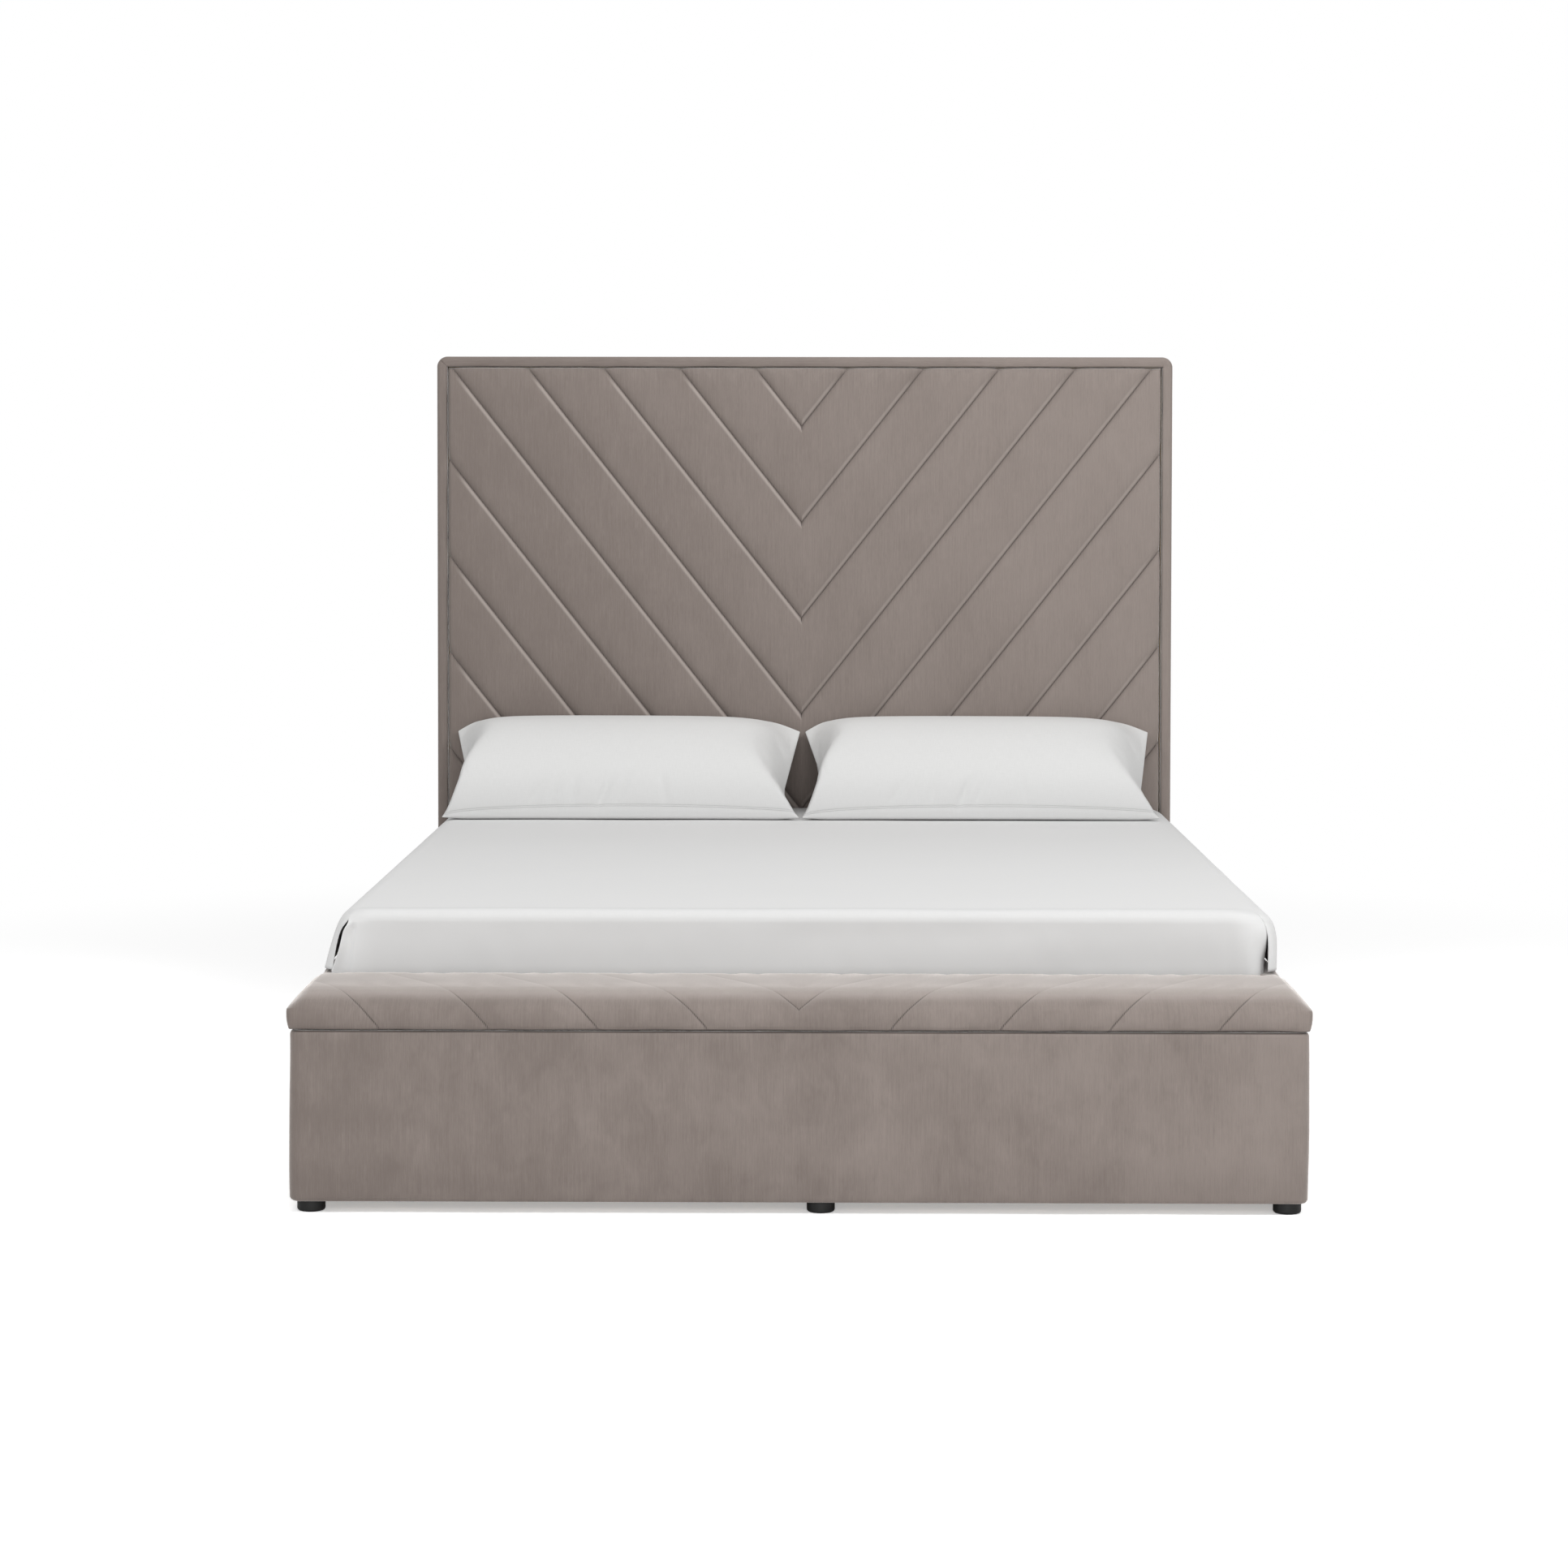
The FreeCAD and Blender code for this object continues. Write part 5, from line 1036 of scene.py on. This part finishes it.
def bed_sheet():
    """Rows that go round three sides of the bed, outwards and down, welded to a grid of the top."""
    top = SHEET_HIGH[2] - SHEET_THICK
    left, slit = sheet_columns()
    columns = np.vstack([left, left[-2::-1] * (-1, 1, 1, 1)])
    mirror = np.where(np.arange(len(columns)) < len(left), 1, -1)
    angle, part = columns[:, 2], columns[:, 3]
    reach, level = np.where(mirror > 0, sheet_rows(angle, top, "left"), sheet_rows(angle, top, "right"))
    low = np.linspace(0, 1, 15)[1:, None]
    reach = np.vstack([reach, reach[-1:] - 0.004 * low])
    level = np.vstack([level, level[-1:] - low * (level[-1].min() - SHEET_HEM)])
    slit_top = np.where(mirror > 0, SLIT_TOP["left"], SLIT_TOP["right"])
    below = np.clip((slit_top - level) / SLIT_DEPTH, 0, 1.2)
    opened = np.where(mirror > 0, SLIT_OPEN * np.sin(np.pi * np.clip(below / 1.25, 0, 1) ** 0.75), 0)
    leaf = opened + SLIT_CLOSED * smooth(below, 0, 0.3)
    away = (angle - slit) * SLIT_RADIUS + np.abs(columns[:, 0] - left[0, 0] * mirror) * (part == 1)
    near = np.exp(-np.abs(away) / SLIT_REACH)
    side_on = (part == 0) & (angle == 0)
    shift = leaf * near * np.where(part == 1, *SLIT_SHARES) / SLIT_RADIUS
    lean = SLIT_LEAN * np.exp(-np.abs(away) / SLIT_LEAN_REACH) * np.exp(-(below / SLIT_LEAN_FALL) ** 2)
    shift += np.where(mirror > 0, lean, 0)
    tucked = (1 - smooth(away, 0, TURNED_WIDTH)) * smooth(below, 0, 0.9) * ((part == 1) & (mirror < 0))
    turned = np.clip(angle + np.where(side_on, 0, shift) - TURNED_ANGLE * tucked, 0, np.pi / 2)
    run = walk_along(columns[:, :2])
    loose = smooth(top - level, 0, SIDE_FALL)
    billow = (ripple(run, level * 2, *SHEET_WAVE) + ripple(run, level, *SHEET_CREASE)) * loose
    open_part = smooth(below, 0, 0.25)
    hollow = EDGE_HOLLOW * np.exp(-((away - HOLLOW_PLACE) / HOLLOW_WIDTH) ** 2)
    puff = EDGE_PUFF * (np.exp(-(away / EDGE_WIDTH) ** 2) - hollow)
    edge_form = np.where((part == 1) & (mirror > 0), puff * open_part, -TURNED_BACK * tucked)
    reach = reach + billow * (1 - 0.55 * part) - 0.0015 * loose + edge_form
    inside = SHEET_CORNER * np.linspace(0, 1, 6)[:, None]
    radius = np.vstack([inside + 0 * angle, SHEET_CORNER + reach])
    turned = np.vstack([0 * inside + angle, turned])
    height = np.vstack([0 * inside + top + 0 * angle, level])
    x = columns[:, 0] - mirror * radius * np.cos(turned)
    y = columns[:, 1] - radius * np.sin(turned)
    rows, count = x.shape
    faces = grid_faces(numbered(x.shape))
    row, edge = np.divmod(faces[:, 0], count)
    slits = np.flatnonzero(np.diff(part) != 0)
    hem = rows - len(low) - 1
    in_front = (part[edge] == 1) & (part[np.minimum(edge + 1, count - 1)] == 1)
    keep = ~np.isin(edge, slits) & ((row < hem) | in_front)
    points = np.stack([x, y, height], axis=-1).reshape(-1, 3)
    wide = columns[angle >= np.pi / 2, 0]
    wide = np.unique(np.round(np.concatenate([wide, [left[0, 0], -left[0, 0]]]), 7) + 0.0)
    deep = left[left[:, 2] == 0, 1]
    grid_y, grid_x = np.meshgrid(np.unique(np.round(deep, 7)), wide, indexing="ij")
    top_grid = np.stack([grid_x, grid_y, top + 0 * grid_x], axis=-1).reshape(-1, 3)
    sheet = mesh_object("bed_sheet_cloth", np.vstack([points, top_grid]),
                        np.vstack([faces[keep], len(points) + grid_faces(numbered(grid_x.shape))]).tolist())
    edit = bmesh.new()
    edit.from_mesh(sheet.data)
    bmesh.ops.remove_doubles(edit, verts=edit.verts[:], dist=2e-5)
    bmesh.ops.delete(edit, geom=[vertex for vertex in edit.verts if not vertex.link_faces], context="VERTS")
    bmesh.ops.recalc_face_normals(edit, faces=edit.faces[:])
    if sum(face.normal.z * face.calc_area() for face in edit.faces) < 0:
        bmesh.ops.reverse_faces(edit, faces=edit.faces[:])
    edit.to_mesh(sheet.data)
    edit.free()
    sheet.data.polygons.foreach_set("use_smooth", np.ones(len(sheet.data.polygons), bool))
    points = read_points(sheet)
    flat = 1 - smooth(-points[:, 2], -top, 0.004 - top)
    points[:, 2] += flat * (ripple(points[:, 0], points[:, 1], *SHEET_TOP_WAVE) - 0.0004)
    write_points(sheet, points)
    # Painted light on the sheet's front drop, and painted shade over the rounded bend above it.
    front = 1 - smooth(points[:, 1], SHEET_FRONT - 0.012, SHEET_FRONT + 0.004)
    front *= 1 - smooth(points[:, 2], top - 0.028, top - 0.010)
    bend = np.exp(-((points[:, 1] - SHEET_FRONT + 0.004) / 0.020) ** 2)
    bend *= smooth(points[:, 2], top - 0.016, top - 0.006)
    bleach = SHEET_FRONT_PAINTED_LIGHT * front + SHEET_BEND_PAINTED_SHADE * bend
    cloth_map(sheet, points[:, 0], points[:, 1] + points[:, 2], bleach=bleach)
    solid = sheet.modifiers.new("cloth", "SOLIDIFY")
    solid.thickness = SHEET_THICK
    solid.offset = -1
    return sheet


COTTON_COLOUR = (0.86, 0.86, 0.855, 1)
COTTON_SHADE = (0.82, 0.82, 0.815, 1)
# A brighter white for painted light; the hem's grey also serves for painted shade.
COTTON_PAINTED_LIGHT = (0.96, 0.96, 0.955, 1)
COTTON_PITCH = 0.0011
HEM_ROWS = (0.0001, 0.0041)
HEM_LINE = 0.0011
HEM_AND_PAINTED_SHADE_COLOUR = (0.44, 0.44, 0.44, 1)


def cotton(name, pale, shade, pitch):
    """Plain woven cotton: warp and weft threads of the pitch given, with uneven yarn, and a soft surface."""
    paint = Finish(name, Roughness=0.92, Sheen_Weight=0.08, Sheen_Roughness=0.5, Specular_IOR_Level=0.15)
    warp = paint.noise((1 / pitch, 0.05 / pitch, 1), 2.0, 0.6, 0, "UV")
    weft = paint.noise((0.05 / pitch, 1 / pitch, 1), 2.0, 0.6, 0, "UV")
    slub = warp * 0.5 + weft * 0.5
    hem = paint.field("hem")
    # A field of painted light and shade draws the colour towards a brighter white where it is over 0, and towards
    # the hem's grey as painted shade where it is under.
    base = paint.shade(paint.mix(slub.over(0.30, 0.70), shade, pale), "bleach", COTTON_PAINTED_LIGHT, HEM_AND_PAINTED_SHADE_COLOUR)
    rows = 0
    for place in HEM_ROWS:
        rows = hem.band(place - HEM_LINE, place, place, place + HEM_LINE) + rows
    relief = slub * 0.3 - rows * 1.6
    return paint.surface(Base_Color=paint.mix(rows * 0.55, base, HEM_AND_PAINTED_SHADE_COLOUR),
                         Normal=paint.bump(relief, 0.0006, 0.6))


cotton_finish = cotton("white_cotton", COTTON_COLOUR, COTTON_SHADE, COTTON_PITCH)
sheet = dress(bed_sheet(), cotton_finish, "mattress", "white_sheet", "bed_sheet")

# Pillows: two plump pillows in white cases lie side by side against the headboard. Each has a thin seam all
# round that ends in four pointed corners, ends that are tucked in, and a hem with two rows of stitches above its
# lower edge, which draws the cloth over it into short upright folds.
# Painted light and shade by height: heights and their amounts.
PILLOW_PAINTED_LIGHT = ((0.465, 0.520, 0.575, 0.620, 0.655), (-0.40, -0.28, -0.06, 0.09, 0.19))
PILLOW_MIDDLE = {"left": -0.3945, "right": 0.3895}
PILLOW_FRONT = (0.8275, 0.4590)
PILLOW_CORNER = (1.1460, 0.6250)
PILLOW_REAR = (1.1460, 0.6530)
PILLOW_TOP = (1.0450, 0.6625)
PILLOW_TOP_SHARE = 0.76
PILLOW_SQUARE = 1.90
PILLOW_KNEE = (1.070, 0.4555)
PILLOW_BACK = 0.022
PILLOW_BEND = 0.62
PILLOW_SEAM = (-0.000658, 0.001232)
PILLOW_END = {-1: ((0, 0.3925), (0.24, 0.3640), (0.44, 0.3550), (0.54, 0.3550), (1, 0.3865)),
              1: ((0, 0.3850), (0.14, 0.3620), (0.25, 0.3530), (0.33, 0.3530), (1, 0.3860))}
PILLOW_TUCK = {-1: (0.012, 0.090, 0.24, 0.80), 1: (0.012, 0.135, 0.06, 0.60)}
TUCK_SPEED, TUCK_POWER = 1.9, 3.2
PILLOW_FOLDS = ((-0.207, 0.486, -0.162, 0.548, 0.0100, 0.0038), (-0.160, 0.486, -0.134, 0.552, 0.0085, 0.0034),
                (-0.114, 0.486, -0.098, 0.556, 0.0090, 0.0042), (-0.054, 0.480, -0.020, 0.556, 0.0080, 0.0064),
                (-0.016, 0.488, 0.014, 0.556, 0.0085, 0.0042), (0.096, 0.490, 0.082, 0.566, 0.0085, 0.0034),
                (0.290, 0.612, 0.338, 0.545, 0.0065, 0.0058), (0.326, 0.622, 0.352, 0.575, 0.0060, 0.0052),
                (-0.352, 0.585, -0.341, 0.548, 0.0060, 0.0020))
PILLOW_CROWDED = (0.45, 0.40)
FOLDS_START = (0.462, 0.482)
HEM_MIDDLE, HEM_HALF = 0.02, 0.40
HEM_LIFT, HEM_WIDTH = 0.0012, 0.004
HEM_RISE = (0.0040, 0.0195)
HEM_NOTCH = (-0.054, 0.006, 0.0022)
PRESSURE = 3.0
PRESSED_LIMIT = 0.008
# Painted shade: the cases are the sheet's white cotton, given darker colours to offset the light on the pillows.
PILLOW_COTTON_PAINTED_SHADE = (0.605, 0.605, 0.60, 1)
PILLOW_COTTON_SHADE = (0.570, 0.570, 0.565, 1)


def folds(x, z, lines):
    """Depth of soft creases along lines in the front view, each with its two ends, its width and its depth."""
    total = np.zeros(x.shape)
    for x_low, z_low, x_high, z_high, width, depth in lines:
        run = np.array([x_high - x_low, z_high - z_low])
        share = np.clip(((x - x_low) * run[0] + (z - z_low) * run[1]) / (run @ run), 0, 1)
        gap = np.hypot(x - x_low - share * run[0], z - z_low - share * run[1])
        total += depth * np.exp(-(gap / width) ** 2) * (0.25 + 0.75 * np.sin(np.pi * share))
    return total


def pillow_case(side):
    """Two skins between the seams: each leans from the chord of the tucked ends to the section at the middle.

    The middle's upper skin is two quarter ellipses of an uneven power, and its lower one a floor and a bulged
    back. The share of the middle's section grows with the distance from an end, faster low down than at the top.
    """
    across, along = np.linspace(-1, 1, 141), np.linspace(0, 1, 61)
    wide, tall = PILLOW_CROWDED
    across = np.sin(across * np.pi / 2) * wide + across * (1 - wide)
    along = (1 - np.cos(along * np.pi)) / 2 * tall + along * (1 - tall)
    u, v = np.meshgrid(across, along, indexing="ij")
    reach = {sign: np.interp(v, *np.array(PILLOW_END[sign]).T) for sign in PILLOW_END}
    x = np.where(u < 0, u * reach[-1], u * reach[1])
    full = np.ones(x.shape)
    for sign, (narrow, wide, start, stop) in PILLOW_TUCK.items():
        width = narrow + (wide - narrow) * smooth(v, start, stop)
        way = TUCK_SPEED * np.clip(reach[sign] - sign * x, 0, None) / width
        full = full * way / (1 + way ** TUCK_POWER) ** (1 / TUCK_POWER)
    places = (PILLOW_FRONT, PILLOW_CORNER, PILLOW_REAR, PILLOW_TOP, PILLOW_KNEE)
    front, corner, rear, top, knee = np.array(places)
    power = 2 / PILLOW_SQUARE
    turn = np.clip(v / PILLOW_TOP_SHARE, 0, 1) * np.pi / 2
    past = np.clip((v - PILLOW_TOP_SHARE) / (1 - PILLOW_TOP_SHARE), 0, 1) * np.pi / 2
    section_y = top[0] - (top[0] - front[0]) * np.cos(turn) ** power
    section_y += (rear[0] - top[0]) * np.sin(past) ** power
    section_z = front[1] + (top[1] - front[1]) * np.sin(turn) ** power
    section_z -= (top[1] - rear[1]) * (1 - np.cos(past) ** power)
    v, full = v[..., None], full[..., None]
    line = front + v * (corner - front)
    upper = line + full * (np.stack([section_y, section_z], axis=-1) - line)
    floor = front + np.clip(v / PILLOW_BEND, 0, 1) * (knee - front)
    rise = np.clip((v - PILLOW_BEND) / (1 - PILLOW_BEND), 0, 1)
    way = (rear - knee) / np.linalg.norm(rear - knee)
    wall = knee + rise * (rear - knee) + np.array([way[1], -way[0]]) * PILLOW_BACK * np.sin(np.pi * rise)
    lower = line + full * (np.where(v < PILLOW_BEND, floor, wall) - line)
    skins = [np.concatenate([x[..., None], skin], axis=-1)
             for skin in (upper + PILLOW_SEAM, lower - PILLOW_SEAM)]
    ring = np.concatenate([skins[0], skins[1][:, ::-1]], axis=1)
    ring[..., 0] += PILLOW_MIDDLE[side]
    return tube_object("pillow_case_" + side, ring), ring


def inflate(piece, held):
    """Blows the case up in a short cloth simulation. Its seam is held, and no point moves beyond the limit."""
    before = read_points(piece)
    group = piece.vertex_groups.new(name="seam")
    group.add(held.tolist(), 1.0, "REPLACE")
    cloth = piece.modifiers.new("cloth", "CLOTH")
    cloth.settings.quality = 4
    cloth.settings.vertex_group_mass = "seam"
    cloth.settings.use_pressure = True
    cloth.settings.uniform_pressure_force = PRESSURE
    cloth.settings.effector_weights.gravity = 0
    for number in range(1, 21):
        bpy.context.scene.frame_set(number)
    graph = bpy.context.evaluated_depsgraph_get()
    flat = np.zeros(before.size)
    piece.evaluated_get(graph).data.vertices.foreach_get("co", flat)
    piece.modifiers.remove(cloth)
    piece.vertex_groups.clear()
    bpy.context.scene.frame_set(1)
    move = flat.reshape(-1, 3) - before
    length = np.linalg.norm(move, axis=1, keepdims=True)
    write_points(piece, before + move * np.minimum(1, PRESSED_LIMIT / np.maximum(length, 1e-9)))


pillow_cotton = cotton("pillow_cotton", PILLOW_COTTON_PAINTED_SHADE, PILLOW_COTTON_SHADE, COTTON_PITCH)
for side in ("left", "right"):
    case, ring = pillow_case(side)
    index = numbered(ring.shape[:2])
    half = index.shape[1] // 2
    inflate(case, np.unique(np.concatenate([*index[[0, -1]], *index[:, [0, -1, half, half - 1]].T])))
    points = read_points(case)
    x, z = points[:, 0] - PILLOW_MIDDLE[side], points[:, 2]
    upper = np.zeros(len(points), bool)
    upper[index[:, :half]] = True
    points[:, 1] += folds(x, z, PILLOW_FOLDS) * upper * smooth(z, *FOLDS_START)
    run = np.concatenate([walk_along(row) for row in points[index]])
    across = np.abs(x - HEM_MIDDLE) / HEM_HALF
    hem = run - HEM_RISE[0] - HEM_RISE[1] * np.sqrt(np.clip(1 - across ** 2, 0, 1))
    hem += HEM_NOTCH[2] * np.exp(-((x - HEM_NOTCH[0]) / HEM_NOTCH[1]) ** 2)
    points[:, 1] += upper * HEM_LIFT * np.exp(-(hem / HEM_WIDTH) ** 2)
    points[:, 2] = np.maximum(points[:, 2], SHEET_HIGH[2] + OVERLAP)
    write_points(case, points)
    # Painted light and shade by height: darker low down and lighter on top.
    bleach = np.interp(points[:, 2], *PILLOW_PAINTED_LIGHT)
    cloth_map(case, points[:, 0], run, hem=np.where(upper, hem, -0.05), bleach=bleach)
    fine = case.modifiers.new("fine", "SUBSURF")
    fine.levels = fine.render_levels = 1
    dress(case, pillow_cotton, "pillow_" + side, "white_pillowcase", "pillow_" + side)
